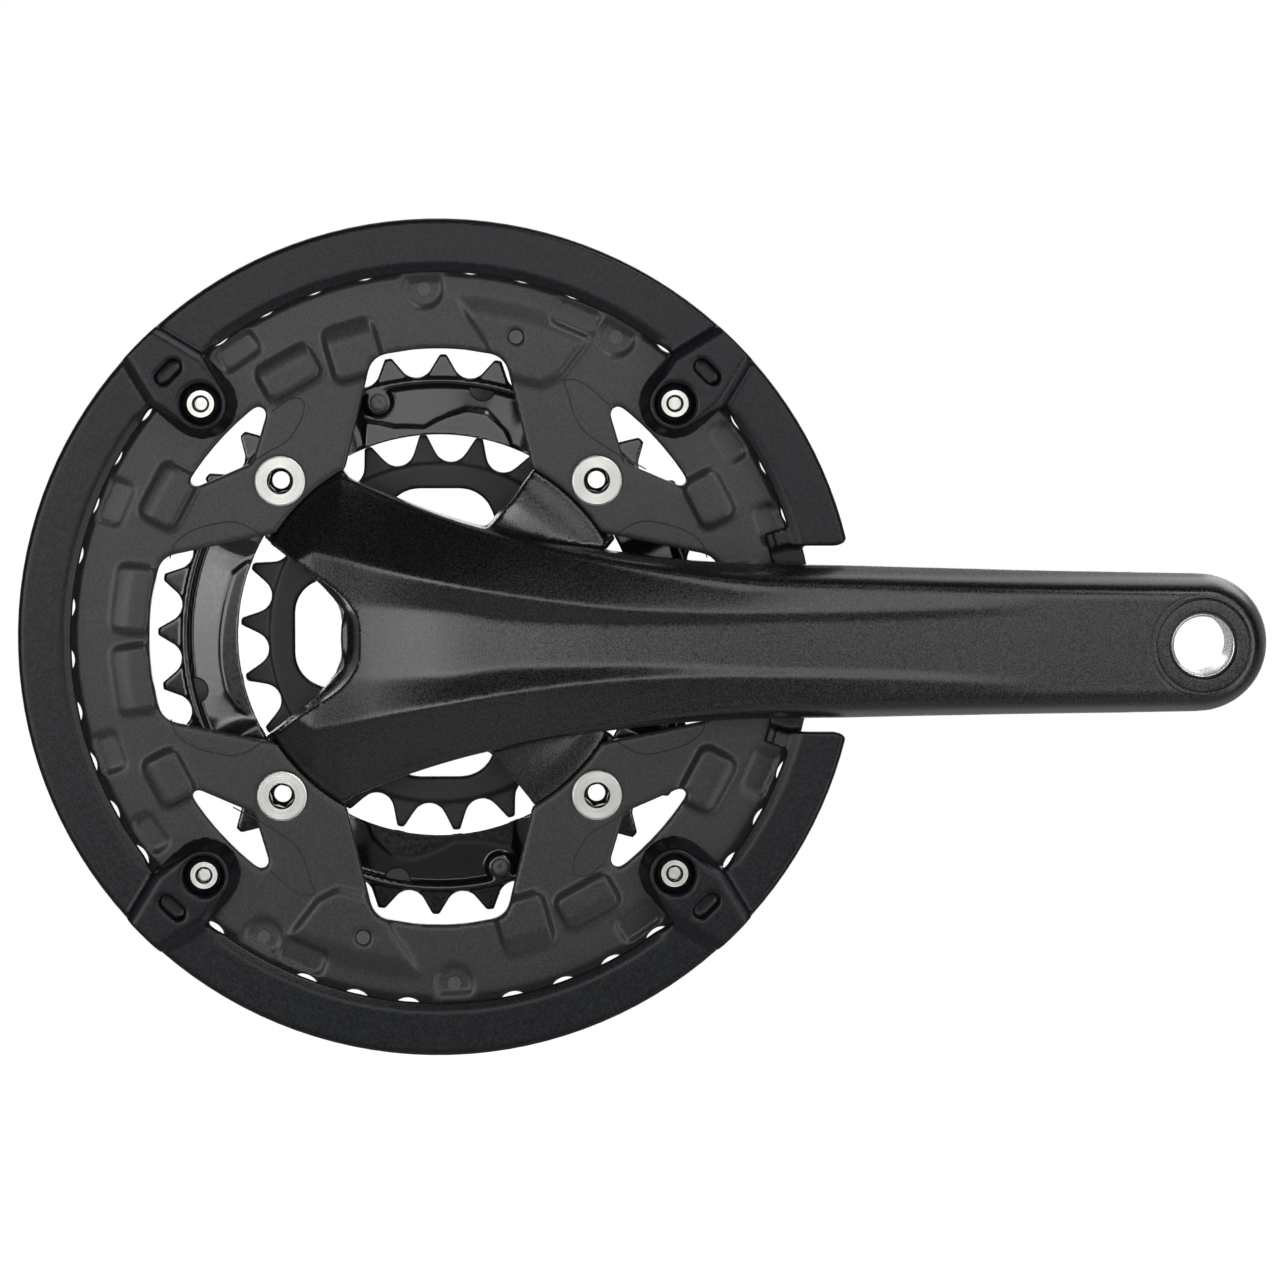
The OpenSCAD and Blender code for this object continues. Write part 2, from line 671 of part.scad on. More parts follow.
module chainring_nuts() {
    color([0.7, 0.7, 0.69]) outboard() at_corners(bolt_radius) difference() {
        union() {
            rod(nut_radius, nut_seat, outer_face - 0.4);
            rod(6.4, nut_seat - 1.2, nut_seat);
        }
        rod(stud_radius, nut_seat - 2, outer_face + 1);
        translate([0, 0, nut_seat - 1.2]) cube([20, 2, 1.2], center = true);
    }
}

module inner_ring_bolts() {
    color([0.7, 0.7, 0.69]) outboard() at_corners(inner_bolt_radius) difference() {
        union() {
            rod(stud_radius, inner_back - 0.1, boss_end + inner_bolt_reach);
            rod(inner_head_radius, inner_back - 1.6, inner_back);
        }
        hex_hole(socket_radius, inner_back - 2, inner_back + 3.5);
    }
}

// Cup with its bearing seat, drawn with the outer end at the given height
module cup(back, end) {
    difference() {
        union() {
            rod(cup_radius, back, end - 0.6);
            translate([0, 0, end - 0.6]) cylinder(r1 = cup_radius, r2 = cup_radius - 0.6, h = 0.6);
            rod(thread_radius, back - cup_thread_length, shell_width / 2);
            rod(thread_radius - 0.5, back - cup_thread_length, back + 1);
        }
        rod(sleeve_outer + 2 * play, back - cup_thread_length - 1, end + 1);
        rod(race_outer + play, end - bearing_inset - 2 * race_half - 0.2, end + 1);
        for (a = [0 : 22.5 : 359]) {
            rotate(a) translate([cup_radius + 0.7, 0, 0]) rod(2, back + 3.2, end + 1);
        }
    }
}

module right_cup() {
    color([0.1, 0.1, 0.1]) outboard() cup(right_cup_back, right_cup_end);
}

module left_cup() {
    color([0.1, 0.1, 0.1]) outboard() mirror([0, 0, 1]) cup(left_cup_back, left_cup_end);
}

sleeve_right = right_cup_back - cup_thread_length + sleeve_reach;
sleeve_left = left_cup_back - cup_thread_length + sleeve_reach;
seal_radius = 0.55;
seal_inset = 3;

module sleeve() {
    color([0.15, 0.15, 0.15]) outboard() difference() {
        tube(sleeve_outer, sleeve_outer - sleeve_wall, -sleeve_left, sleeve_right);
        for (h = [sleeve_right - seal_inset, seal_inset - sleeve_left]) {
            tube(sleeve_outer + 1, sleeve_outer - 2 * seal_radius + play, h - 0.7, h + 0.7);
        }
    }
}

module sleeve_seals() {
    color([0.02, 0.02, 0.02]) outboard() for (h = [sleeve_right - seal_inset, seal_inset - sleeve_left]) {
        translate([0, 0, h]) rotate_extrude() {
            translate([sleeve_outer - seal_radius + 1.2 * play, 0]) circle(r = seal_radius);
        }
    }
}

// One spacer between a cup and the shell, a hair thinner than its place
module cup_spacer(from) {
    tube(cup_radius - 2.4, thread_radius + 0.2, from + 0.02, from + spacer - 0.02);
}

module right_spacers() {
    color([0.12, 0.12, 0.12]) outboard() for (k = [0, 1]) {
        cup_spacer(shell_width / 2 + k * spacer);
    }
}

module left_spacer() {
    color([0.12, 0.12, 0.12]) outboard() cup_spacer(-left_cup_back);
}

module ball_groove() {
    rotate_extrude() {
        translate([ball_ring, 0]) circle(r = groove_radius);
    }
}

// Bearing parts, drawn round their own middle plane
module outer_race() {
    difference() {
        tube(race_outer, ball_ring + land, -race_half, race_half);
        ball_groove();
        for (s = [-1, 1]) {
            translate([0, 0, s * race_half]) cylinder(r = ball_ring + land + 0.5, h = 1.2, center = true);
        }
    }
}

module inner_race() {
    difference() {
        tube(ball_ring - land, race_bore, -race_half, race_half);
        ball_groove();
    }
}

module balls() {
    for (i = [0 : ball_count - 1]) {
        rotate(360 * i / ball_count) translate([ball_ring, 0, 0]) sphere(r = ball_radius);
    }
}

module cage() {
    difference() {
        tube(ball_ring + 0.5, ball_ring - 0.5, -cage_width / 2, cage_width / 2);
        for (i = [0 : ball_count - 1]) {
            rotate(360 * i / ball_count) rotate([0, 90, 0]) rod(ball_radius + 0.1, 1, ball_ring + 5);
        }
    }
}

module shields() {
    for (s = [-1, 1]) {
        translate([0, 0, s * (race_half - 0.3)]) {
            tube(ball_ring + land + 0.5, ball_ring - land + 0.15, -0.3, 0.3);
        }
    }
}

module bush(end) {
    tube(race_bore - play, spindle_radius + play, end - bearing_inset - 2 * race_half, end + bush_flange);
    tube(ball_ring + 1.5, spindle_radius + play, end, end + bush_flange);
}

right_bearing = right_cup_end - bearing_inset - race_half;
left_bearing = -left_cup_end + bearing_inset + race_half;

module right_outer_race() {
    color([0.6, 0.6, 0.62]) outboard() translate([0, 0, right_bearing]) outer_race();
}

module right_inner_race() {
    color([0.6, 0.6, 0.62]) outboard() translate([0, 0, right_bearing]) inner_race();
}

module right_balls() {
    color([0.8, 0.8, 0.82]) outboard() translate([0, 0, right_bearing]) balls();
}

module right_cage() {
    color([0.5, 0.4, 0.2]) outboard() translate([0, 0, right_bearing]) cage();
}

module right_shields() {
    color([0.05, 0.05, 0.05]) outboard() translate([0, 0, right_bearing]) shields();
}

module right_bush() {
    color([0.08, 0.08, 0.08]) outboard() bush(right_cup_end);
}

module left_outer_race() {
    color([0.6, 0.6, 0.62]) outboard() translate([0, 0, left_bearing]) outer_race();
}

module left_inner_race() {
    color([0.6, 0.6, 0.62]) outboard() translate([0, 0, left_bearing]) inner_race();
}

module left_balls() {
    color([0.8, 0.8, 0.82]) outboard() translate([0, 0, left_bearing]) balls();
}

module left_cage() {
    color([0.5, 0.4, 0.2]) outboard() translate([0, 0, left_bearing]) cage();
}

module left_shields() {
    color([0.05, 0.05, 0.05]) outboard() translate([0, 0, left_bearing]) shields();
}

module left_bush() {
    color([0.08, 0.08, 0.08]) outboard() mirror([0, 0, 1]) bush(left_cup_end);
}

crank_arm();
spindle();
outer_chainring();
shift_pins();
middle_chainring();
inner_chainring();
chain_guard();
guard_screws();
chainring_bolts();
chainring_nuts();
inner_ring_bolts();
right_cup();
left_cup();
sleeve();
sleeve_seals();
right_spacers();
left_spacer();
right_outer_race();
right_inner_race();
right_balls();
right_cage();
right_shields();
right_bush();
left_outer_race();
left_inner_race();
left_balls();
left_cage();
left_shields();
left_bush();
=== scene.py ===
"""Drive-side bicycle crankset: looks of the forged arm, the stamped rings and the moulded guard."""
import math

import bmesh
import bpy
import numpy as np
from mathutils import Matrix, Vector


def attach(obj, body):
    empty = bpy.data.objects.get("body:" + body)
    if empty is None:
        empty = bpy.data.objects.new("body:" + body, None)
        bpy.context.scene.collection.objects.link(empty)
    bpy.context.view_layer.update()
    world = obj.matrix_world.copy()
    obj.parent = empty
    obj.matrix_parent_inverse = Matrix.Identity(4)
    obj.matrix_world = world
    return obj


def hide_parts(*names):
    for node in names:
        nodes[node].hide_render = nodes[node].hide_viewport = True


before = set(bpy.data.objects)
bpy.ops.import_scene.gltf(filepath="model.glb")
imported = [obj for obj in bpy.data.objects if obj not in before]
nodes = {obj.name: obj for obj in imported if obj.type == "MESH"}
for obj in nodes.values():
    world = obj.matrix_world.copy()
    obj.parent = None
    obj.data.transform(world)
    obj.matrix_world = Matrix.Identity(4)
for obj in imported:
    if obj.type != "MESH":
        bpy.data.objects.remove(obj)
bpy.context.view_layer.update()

scene = bpy.context.scene

# A millimetre in metres: sizes are in mm and angles in degrees, but the floor and the lamps are in metres
MM = 0.001
# Distances in metres that weld the loose triangles of a CAD node and close a spun or cut seam
WELD = 1e-6
SEAM = 1e-7
# Depths along the spindle, where outer faces look to -Y
OUTER_FACE = -59.5
MIDDLE_FACE = -51.5
GUARD_FACE = -64.7
EYE_FACE = -86.0
EYE_BACK = -72.0
# Pedal axis along X, and radius of the round eye about it
PEDAL_X = 175.0
EYE_RADIUS = 16.0
# The outer and middle rings look the same after half a turn
HALF_TURNS = (0, 180)


# Colours and nodes

def linear(code):
    """sRGB hex to linear colour."""
    channels = [int(code[i:i + 2], 16) / 255 for i in (1, 3, 5)]
    return tuple(c / 12.92 if c <= 0.04045 else ((c + 0.055) / 1.055) ** 2.4 for c in channels) + (1.0,)


def add(tree, kind, links=(), **settings):
    """One node with its settings; links pairs an input with a value or another node's output."""
    node = tree.nodes.new(kind)
    for name, value in settings.items():
        setattr(node, name, value)
    for key, source in links:
        if isinstance(source, bpy.types.NodeSocket):
            tree.links.new(source, node.inputs[key])
        else:
            node.inputs[key].default_value = source
    return node


def empty_tree(owner):
    """The node tree of a new material or world, cleared."""
    owner.use_nodes = True
    owner.node_tree.nodes.clear()
    return owner.node_tree


# Sockets of a Mix node for colours: share, first and second colour, and the result
MIX_SHARE = 0
MIX_FIRST = 6
MIX_SECOND = 7
MIX_RESULT = 2
# Width of the faint clouds in a coat
CLOUD_MM = 18
# Noise at which the grain is all dark and all light, and grain times clouds at which a coat is dullest
GRAIN_DARK = 0.36
GRAIN_LIGHT = 0.66
DULLEST = 0.5
# Turning marks, drawn as coarse as they need to show, their height, and the width over which the painted
# shade on a socket's walls fades into the bare steel, then the colour of that painted shade
MARKS_MM = 0.12
MARKS_BUMP_MM = 0.02
SHADE_FADE_MM = 0.15
SOCKET_PAINTED_SHADE = "#161615"


def grained(name, dark, light, grain_mm, rough, bump_mm, metallic=0.0, stretch=(1, 1, 1),
            sparkle=(0.5, 0.5)):
    """A coat whose colour, gloss and height vary with its grain; rough and sparkle are (least, most).
    Real grain is finer than the render shows, so grain_mm is as coarse as it needs to show."""
    material = bpy.data.materials.new(name)
    tree = empty_tree(material)
    place = add(tree, "ShaderNodeTexCoord")
    drawn = add(tree, "ShaderNodeMapping", [("Vector", place.outputs["Object"]), ("Scale", stretch)])
    grain = add(tree, "ShaderNodeTexNoise", [
        ("Vector", drawn.outputs[0]), ("Scale", 1 / (grain_mm * MM)), ("Detail", 2.0), ("Roughness", 0.6)])
    cloud = add(tree, "ShaderNodeTexNoise", [
        ("Vector", place.outputs["Object"]), ("Scale", 1 / (CLOUD_MM * MM)), ("Detail", 3.0)])
    speck = add(tree, "ShaderNodeMapRange", [
        ("Value", grain.outputs["Fac"]), ("From Min", GRAIN_DARK), ("From Max", GRAIN_LIGHT)])
    both = add(tree, "ShaderNodeMath", [
        (0, speck.outputs[0]), (1, cloud.outputs["Fac"])], operation="MULTIPLY")
    colour = add(tree, "ShaderNodeMix", [
        (MIX_SHARE, speck.outputs[0]), (MIX_FIRST, linear(dark)), (MIX_SECOND, linear(light))],
        data_type="RGBA")
    gloss = add(tree, "ShaderNodeMapRange", [
        ("Value", both.outputs[0]), ("From Min", 0.0), ("From Max", DULLEST),
        ("To Min", rough[0]), ("To Max", rough[1])])
    height = add(tree, "ShaderNodeBump", [
        ("Height", grain.outputs["Fac"]), ("Strength", 1.0), ("Distance", bump_mm * MM)])
    glint = add(tree, "ShaderNodeMapRange", [
        ("Value", speck.outputs[0]), ("To Min", sparkle[0]), ("To Max", sparkle[1])])
    shader = add(tree, "ShaderNodeBsdfPrincipled", [
        ("Base Color", colour.outputs[MIX_RESULT]), ("Roughness", gloss.outputs[0]),
        ("Specular IOR Level", glint.outputs[0]), ("Normal", height.outputs[0]), ("Metallic", metallic)])
    add(tree, "ShaderNodeOutputMaterial", [("Surface", shader.outputs[0])])
    return material


def turned(name, dark, light, offset_mm, socket_mm, floor_mm, rough):
    """Plated steel turned about four axes at the corners of a square. Painted shade darkens the walls of
    the wrench sockets, which lie between floor_mm and socket_mm from each axis."""
    material = bpy.data.materials.new(name)
    tree = empty_tree(material)
    place = add(tree, "ShaderNodeTexCoord")
    parts = add(tree, "ShaderNodeSeparateXYZ", [(0, place.outputs["Object"])])
    from_axis = []
    for axis in ("X", "Z"):
        side = add(tree, "ShaderNodeMath", [(0, parts.outputs[axis])], operation="SIGN")
        from_axis.append(add(tree, "ShaderNodeMath", [
            (0, side.outputs[0]), (1, -offset_mm * MM), (2, parts.outputs[axis])],
            operation="MULTIPLY_ADD"))
    flat = add(tree, "ShaderNodeCombineXYZ", [
        ("X", from_axis[0].outputs[0]), ("Z", from_axis[1].outputs[0])])
    radius = add(tree, "ShaderNodeVectorMath", [(0, flat.outputs[0])], operation="LENGTH")
    marks = add(tree, "ShaderNodeTexNoise", [
        ("W", radius.outputs["Value"]), ("Scale", 1 / (MARKS_MM * MM)), ("Detail", 2.0)],
        noise_dimensions="1D")
    outside = add(tree, "ShaderNodeMapRange", [
        ("Value", radius.outputs["Value"]),
        ("From Min", socket_mm * MM), ("From Max", (socket_mm + SHADE_FADE_MM) * MM)])
    floor = add(tree, "ShaderNodeMapRange", [
        ("Value", radius.outputs["Value"]),
        ("From Min", floor_mm * MM), ("From Max", (floor_mm - SHADE_FADE_MM) * MM)])
    # Painted shade on the socket walls, wherever the steel is neither outside the socket nor on its floor
    unshaded = add(tree, "ShaderNodeMath", [
        (0, outside.outputs[0]), (1, floor.outputs[0])], operation="MAXIMUM")
    tone = add(tree, "ShaderNodeMix", [
        (MIX_SHARE, marks.outputs["Fac"]), (MIX_FIRST, linear(dark)), (MIX_SECOND, linear(light))],
        data_type="RGBA")
    colour = add(tree, "ShaderNodeMix", [
        (MIX_SHARE, unshaded.outputs[0]), (MIX_FIRST, linear(SOCKET_PAINTED_SHADE)),
        (MIX_SECOND, tone.outputs[MIX_RESULT])], data_type="RGBA")
    bump = add(tree, "ShaderNodeBump", [
        ("Height", marks.outputs["Fac"]), ("Strength", 1.0), ("Distance", MARKS_BUMP_MM * MM)])
    swirl = add(tree, "ShaderNodeVectorMath", [
        (0, flat.outputs[0]), (1, (0, 1, 0))], operation="CROSS_PRODUCT")
    along = add(tree, "ShaderNodeVectorTransform", [(0, swirl.outputs[0])], vector_type="VECTOR",
                convert_from="OBJECT", convert_to="WORLD")
    shader = add(tree, "ShaderNodeBsdfPrincipled", [
        ("Base Color", colour.outputs[MIX_RESULT]), ("Metallic", 1.0), ("Roughness", rough),
        ("Anisotropic", 0.75), ("Normal", bump.outputs[0]), ("Tangent", along.outputs[0])])
    add(tree, "ShaderNodeOutputMaterial", [("Surface", shader.outputs[0])])
    return material


# Coats and metals

# Forged aluminium, bead-blasted and anodised black: satin, with a fine sparkling grain
black_anodised_forging = grained("black_anodised_forging", "#030304", "#111112", grain_mm=0.42,
                                 rough=(0.24, 0.34), bump_mm=0.015, sparkle=(0.38, 0.64))
# Stamped steel, dip-coated dark grey: dull, with a very fine grain
grey_coated_steel = grained("grey_coated_steel", "#242424", "#2c2c2c", grain_mm=0.45,
                            rough=(0.32, 0.38), bump_mm=0.015, sparkle=(0.26, 0.35))
# Stamped steel, coated gloss black: deep black with clear reflections
gloss_black_steel = grained("gloss_black_steel", "#080808", "#101010", grain_mm=0.9,
                            rough=(0.14, 0.2), bump_mm=0.004)
# Cut steel, coated satin black: even black with a faint sheen
satin_black_steel = grained("satin_black_steel", "#101011", "#171718", grain_mm=0.4,
                            rough=(0.42, 0.5), bump_mm=0.015, sparkle=(0.24, 0.34))
# Glass-filled plastic from a spark-eroded mould: leathery black with a touch of blue
moulded_black_plastic = grained("moulded_black_plastic", "#0b0d10", "#111418", grain_mm=0.5,
                                rough=(0.29, 0.36), bump_mm=0.015, sparkle=(0.18, 0.25))
# Painted shade of the coined creases in the dip-coated steel: fine dark lines that stand in for the shadow
# in their grooves
crease_shadow = grained("crease_shadow", "#0c0c0c", "#151515", grain_mm=0.5,
                        rough=(0.5, 0.6), bump_mm=0.0)
# Steel, turned and zinc-plated: bright satin
plated_steel = grained("plated_steel", "#b9b8b4", "#dcdbd6", grain_mm=0.25,
                       rough=(0.24, 0.38), bump_mm=0.004, metallic=1.0)
# The same on the chainring bolts and the guard screws: turning marks spread the shine round each axis, and
# the walls of their wrench sockets get painted shade
bolt_steel = turned("bolt_steel", "#8f8e8b", "#c6c5c1", offset_mm=36.77,
                    socket_mm=3.0, floor_mm=0, rough=0.3)
screw_steel = turned("screw_steel", "#9c9b98", "#cfceca", offset_mm=54.8,
                     socket_mm=1.95, floor_mm=1.5, rough=0.28)
# Phosphated steel of the pins and rivets: dark grey and dull
dark_steel = grained("dark_steel", "#333331", "#474745", grain_mm=0.3,
                     rough=(0.45, 0.55), bump_mm=0.006, metallic=0.3)
# Aluminium, tapped and left bare, of the pedal thread: bright and pale
bare_aluminium = grained("bare_aluminium", "#c9c9c7", "#e6e6e4", grain_mm=0.2,
                         rough=(0.22, 0.34), bump_mm=0.004, metallic=1.0)
# Alloy steel of the spindle, turned: grey, with feed marks that run round it
turned_steel = grained("turned_steel", "#77777a", "#98989b", grain_mm=0.3,
                       rough=(0.3, 0.42), bump_mm=0.004, metallic=1.0, stretch=(0.2, 4, 0.2))
# Bearing steel, ground and polished: bright with clear reflections
bearing_steel = grained("bearing_steel", "#a9aaad", "#c9cacc", grain_mm=0.3,
                        rough=(0.16, 0.24), bump_mm=0.002, metallic=1.0)
# Brass of the ball cages, stamped: warm and satin
stamped_brass = grained("stamped_brass", "#a57f3e", "#c49a52", grain_mm=0.4,
                        rough=(0.3, 0.42), bump_mm=0.004, metallic=1.0)
# Aluminium of the cups, turned and anodised black: soft black with feed marks that run round it
black_turned_cup = grained("black_turned_cup", "#1a1a1b", "#2c2c2d", grain_mm=0.35,
                           rough=(0.32, 0.44), bump_mm=0.008, stretch=(0.3, 3, 0.3))
# Nylon, moulded: even black, dull
moulded_nylon = grained("moulded_nylon", "#1d1d1d", "#2a2a2a", grain_mm=0.6,
                        rough=(0.5, 0.62), bump_mm=0.015)
# Nitrile rubber, moulded: flat black
seal_rubber = grained("seal_rubber", "#101010", "#1b1b1b", grain_mm=0.5,
                      rough=(0.6, 0.72), bump_mm=0.01)


# Ways to make a piece

# Share of the way to its neighbours that smoothing moves a vertex
SMOOTHING = 0.5


def node_shape(node):
    """A merged copy of a CAD node's mesh."""
    bm = bmesh.new()
    bm.from_mesh(nodes[node].data)
    bmesh.ops.remove_doubles(bm, verts=bm.verts, dist=WELD)
    return bm


def piece(name, bm, body, material):
    """A finished mesh as an object that rides on a body."""
    mesh = bpy.data.meshes.new(name)
    bm.to_mesh(mesh)
    bm.free()
    obj = bpy.data.objects.new(name, mesh)
    scene.collection.objects.link(obj)
    mesh.materials.clear()
    mesh.materials.append(material)
    mesh.polygons.foreach_set("use_smooth", [True] * len(mesh.polygons))
    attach(obj, body)
    return obj


def even_skin(obj, voxel_mm):
    """Gives a closed mesh an even skin of small quads with softened edges."""
    remesh = obj.modifiers.new("even_skin", "REMESH")
    remesh.mode = "VOXEL"
    remesh.voxel_size = voxel_mm * MM
    remesh.adaptivity = 0.0
    remesh.use_smooth_shade = True
    skin = bpy.data.meshes.new_from_object(obj.evaluated_get(bpy.context.evaluated_depsgraph_get()))
    material = obj.data.materials[0]
    obj.modifiers.clear()
    obj.data = skin
    skin.materials.clear()
    skin.materials.append(material)


def reshape(obj, move):
    """Moves the vertices by a function of their places and normals, in mm."""
    mesh = obj.data
    count = len(mesh.vertices)
    place = np.empty(count * 3)
    normal = np.empty(count * 3)
    mesh.vertices.foreach_get("co", place)
    mesh.vertex_normals.foreach_get("vector", normal)
    place = move(place.reshape(-1, 3) / MM, normal.reshape(-1, 3))
    mesh.vertices.foreach_set("co", (place * MM).ravel())
    mesh.update()


def soften(obj, rounds):
    """Smooths the skin a little all over."""
    smooth = obj.modifiers.new("soft_edges", "SMOOTH")
    smooth.factor = SMOOTHING
    smooth.iterations = rounds


def fair_faces(obj, rounds, crease, keep):
    """Smooths the faces between creases a lot more, apart from the vertices to keep."""
    bm = bmesh.new()
    bm.from_mesh(obj.data)
    limit = math.radians(crease)
    sharp = set(keep)
    for edge in bm.edges:
        if edge.is_manifold and edge.calc_face_angle(0.0) > limit:
            sharp.update((edge.verts[0].index, edge.verts[1].index))
    free = [v.index for v in bm.verts if v.index not in sharp]
    bm.free()
    group = obj.vertex_groups.new(name="open_faces")
    group.add(free, 1.0, "REPLACE")
    smooth = obj.modifiers.new("fair_faces", "SMOOTH")
    smooth.factor = SMOOTHING
    smooth.iterations = rounds
    smooth.vertex_group = group.name


def spun(profile, centre_x=0.0, steps=96):
    """A closed ring: a profile of (radius, depth) turned about an axis along Y."""
    bm = bmesh.new()
    loop = [bm.verts.new((r * MM, y * MM, 0.0)) for r, y in profile]
    edges = [bm.edges.new((loop[i], loop[(i + 1) % len(loop)])) for i in range(len(loop))]
    bmesh.ops.spin(bm, geom=loop + edges, cent=(0, 0, 0), axis=(0, 1, 0), angle=2 * math.pi, steps=steps,
                   use_merge=True)
    bmesh.ops.remove_doubles(bm, verts=bm.verts, dist=SEAM)
    bmesh.ops.recalc_face_normals(bm, faces=bm.faces)
    bmesh.ops.translate(bm, verts=bm.verts, vec=(centre_x * MM, 0, 0))
    return bm


def round_spindle(angle):
    """A turn about the spindle that takes +X to an angle in the rings' plane."""
    return Matrix.Rotation(-math.radians(angle), 3, "Y")


def crisp(node, material, width_mm, angle=35, segments=2):
    """Keeps a machined CAD node and breaks its edges."""
    obj = nodes[node]
    obj.data.materials.clear()
    obj.data.materials.append(material)
    weld = obj.modifiers.new("closed_seams", "WELD")
    weld.merge_threshold = WELD
    bevel = obj.modifiers.new("broken_edges", "BEVEL")
    bevel.width = width_mm * MM
    bevel.segments = segments
    bevel.limit_method = "ANGLE"
    bevel.angle_limit = math.radians(angle)
    shade = obj.modifiers.new("even_shade", "WEIGHTED_NORMAL")
    shade.keep_sharp = True


# Curves and distances

def ease(t):
    """Goes smoothly from 0 to 1 with the share t."""
    t = np.clip(t, 0.0, 1.0)
    return t * t * (3 - 2 * t)


def bend(t, soft):
    """Goes from 0 to 1 with the share t, with rounded ends."""
    return 0.5 * (np.hypot(t, soft) - np.hypot(t - 1, soft) + 1)


def lesser(a, b, soft):
    """The lesser of two values, with a rounded change from one to the other."""
    return 0.5 * (a + b - np.sqrt((a - b) ** 2 + soft))


def curve(x, table):
    """Smooth curve through a table of (place, value) rows."""
    key, value = np.array(table, float).T
    rise, run = np.diff(value), np.diff(key)
    inner = (rise[1:] + rise[:-1]) / (run[1:] + run[:-1])
    slope = np.concatenate(([rise[0] / run[0]], inner, [rise[-1] / run[-1]]))
    x = np.clip(x, key[0], key[-1])
    i = np.clip(np.searchsorted(key, x, side="right") - 1, 0, len(key) - 2)
    span = key[i + 1] - key[i]
    t = (x - key[i]) / span
    return (value[i] * (1 + 2 * t) * (1 - t) ** 2 + value[i + 1] * t * t * (3 - 2 * t)
            + span * t * (1 - t) * (slope[i] * (1 - t) - slope[i + 1] * t))


def plan(place):
    """Places in a ring's plane as x, z, radius and angle from 0 to 360."""
    x, z = place[:, 0], place[:, 2]
    return x, z, np.hypot(x, z), np.degrees(np.arctan2(z, x)) % 360


def on_ring(radius, angle):
    """x and z of a place on a ring."""
    return radius * math.cos(math.radians(angle)), radius * math.sin(math.radians(angle))


def from_place(x, z, radius, angle):
    """Distance from a place on a ring."""
    at_x, at_z = on_ring(radius, angle)
    return np.hypot(x - at_x, z - at_z)


def along_and_out(x, z, radius, angle):
    """Distances along a ring and outward from a place on it."""
    c, s = on_ring(1, angle)
    return z * c - x * s, x * c + z * s - radius


def box_distance(u, v, length, width, corner):
    """Distance to a box with rounded corners, negative inside."""
    q = np.maximum(np.abs(u) - (length / 2 - corner), 0)
    p = np.maximum(np.abs(v) - (width / 2 - corner), 0)
    return np.hypot(q, p) - corner


def outline_distance(x, z, outline):
    """Distance to a closed outline, negative inside."""
    nearest = np.full(len(x), np.inf)
    inside = np.zeros(len(x), bool)
    for (x0, z0), (x1, z1) in zip(outline, outline[1:] + outline[:1]):
        dx, dz = x1 - x0, z1 - z0
        t = np.clip(((x - x0) * dx + (z - z0) * dz) / (dx * dx + dz * dz), 0, 1)
        nearest = np.minimum(nearest, np.hypot(x - x0 - t * dx, z - z0 - t * dz))
        if dz:
            inside ^= ((z0 <= z) != (z1 <= z)) & (x < x0 + (z - z0) * dx / dz)
    return np.where(inside, -nearest, nearest)


# Crank arm

# By places along X: height of the outer face's two crests, their offset from the middle, and the fall
# from a crest to the edge
CREST = [(-44.6, 60.5), (-30, 66), (-15, 72), (0, 76.5), (20, 79.1), (60, 81.4), (110, 83.4), (134, 84.9),
         (163, 86), (191, 86)]
CREST_AT = [(-44.6, 23.5), (-32, 20.8), (-5, 15), (21, 10.4), (45, 7.8), (79, 7.2), (105, 7.6), (134, 8.8),
            (191, 9)]
FALL = [(-44.6, 0.3), (-34, 4), (-22, 8.8), (-9, 10.6), (3, 9.1), (14, 6.8), (26, 5), (37, 3.6), (50, 2.3),
        (62, 1.6), (75, 1), (95, 0.55), (120, 0.25), (140, 0), (191, 0)]
# Depth of the channel between the crests, and half the width of its floor
CHANNEL = [(-30, 1), (-9, 1.56), (3, 2), (14, 2.1), (26, 1.7), (37, 1.24), (50, 0.8), (62, 0.44),
           (80, 0.32), (105, 0.24), (124, 0.1), (138, 0)]
FLOOR_AT = [(-44.6, 9), (-9, 8), (3, 7.4), (14, 5.8), (26, 5.2), (45, 4.8), (62, 5), (79, 5.6), (105, 6.2),
            (134, 7.6), (191, 8)]
# Half the width of the arm, and the width and fall of its rounded edge
HALF_WIDTH = [(-23, 38.21), (-9, 32.4), (1.5, 28.6), (12, 25.6), (26, 22.6), (40, 20.6), (54, 19), (72, 18),
              (92, 17.7), (134, 16.7), (175, 16)]
EDGE_WIDTH = [(-44.6, 1.4), (20, 1.8), (50, 3.6), (80, 6), (191, 6)]
EDGE_FALL = [(-44.6, 0.8), (0, 2), (25, 4), (50, 7), (80, 9.5), (191, 9)]
# Left of this place the arm ends in prongs on a circle about the spindle, whose tips keep a little width
PRONGS_FROM = -23
PRONG_RADIUS = 44.6
TIP_SQUARE = 0.01
# Most offset of a crest and width of the edge, as shares of half the arm's width, most half width of the
# floor, as a share of the crest's offset, and least width of a facet
CREST_MOST = 0.6
EDGE_MOST = 0.3
FLOOR_MOST = 0.8
FACET_LEAST = 0.5
# Power by which the rounded edge falls, bow of the facets, and softness of the walls and of the crests
EDGE_ROUND = 3.2
FACET_BOW = 0.22
WALL_SOFT = 0.1
CREST_SOFT = 0.05
# Edge of the notch between the prongs by the distance from the middle, at its back and front, and the
# foot and height of its wall, which leans from one to the other
NOTCH_BACK = [(0, -23.7), (5.5, -23.9), (11, -26.6), (18, -34), (44, -62)]
NOTCH_FRONT = [(0, -17.2), (6, -17.9), (11.6, -22.4), (19.4, -34), (46, -62)]
NOTCH_FOOT = 49.5
NOTCH_HEIGHT = 24


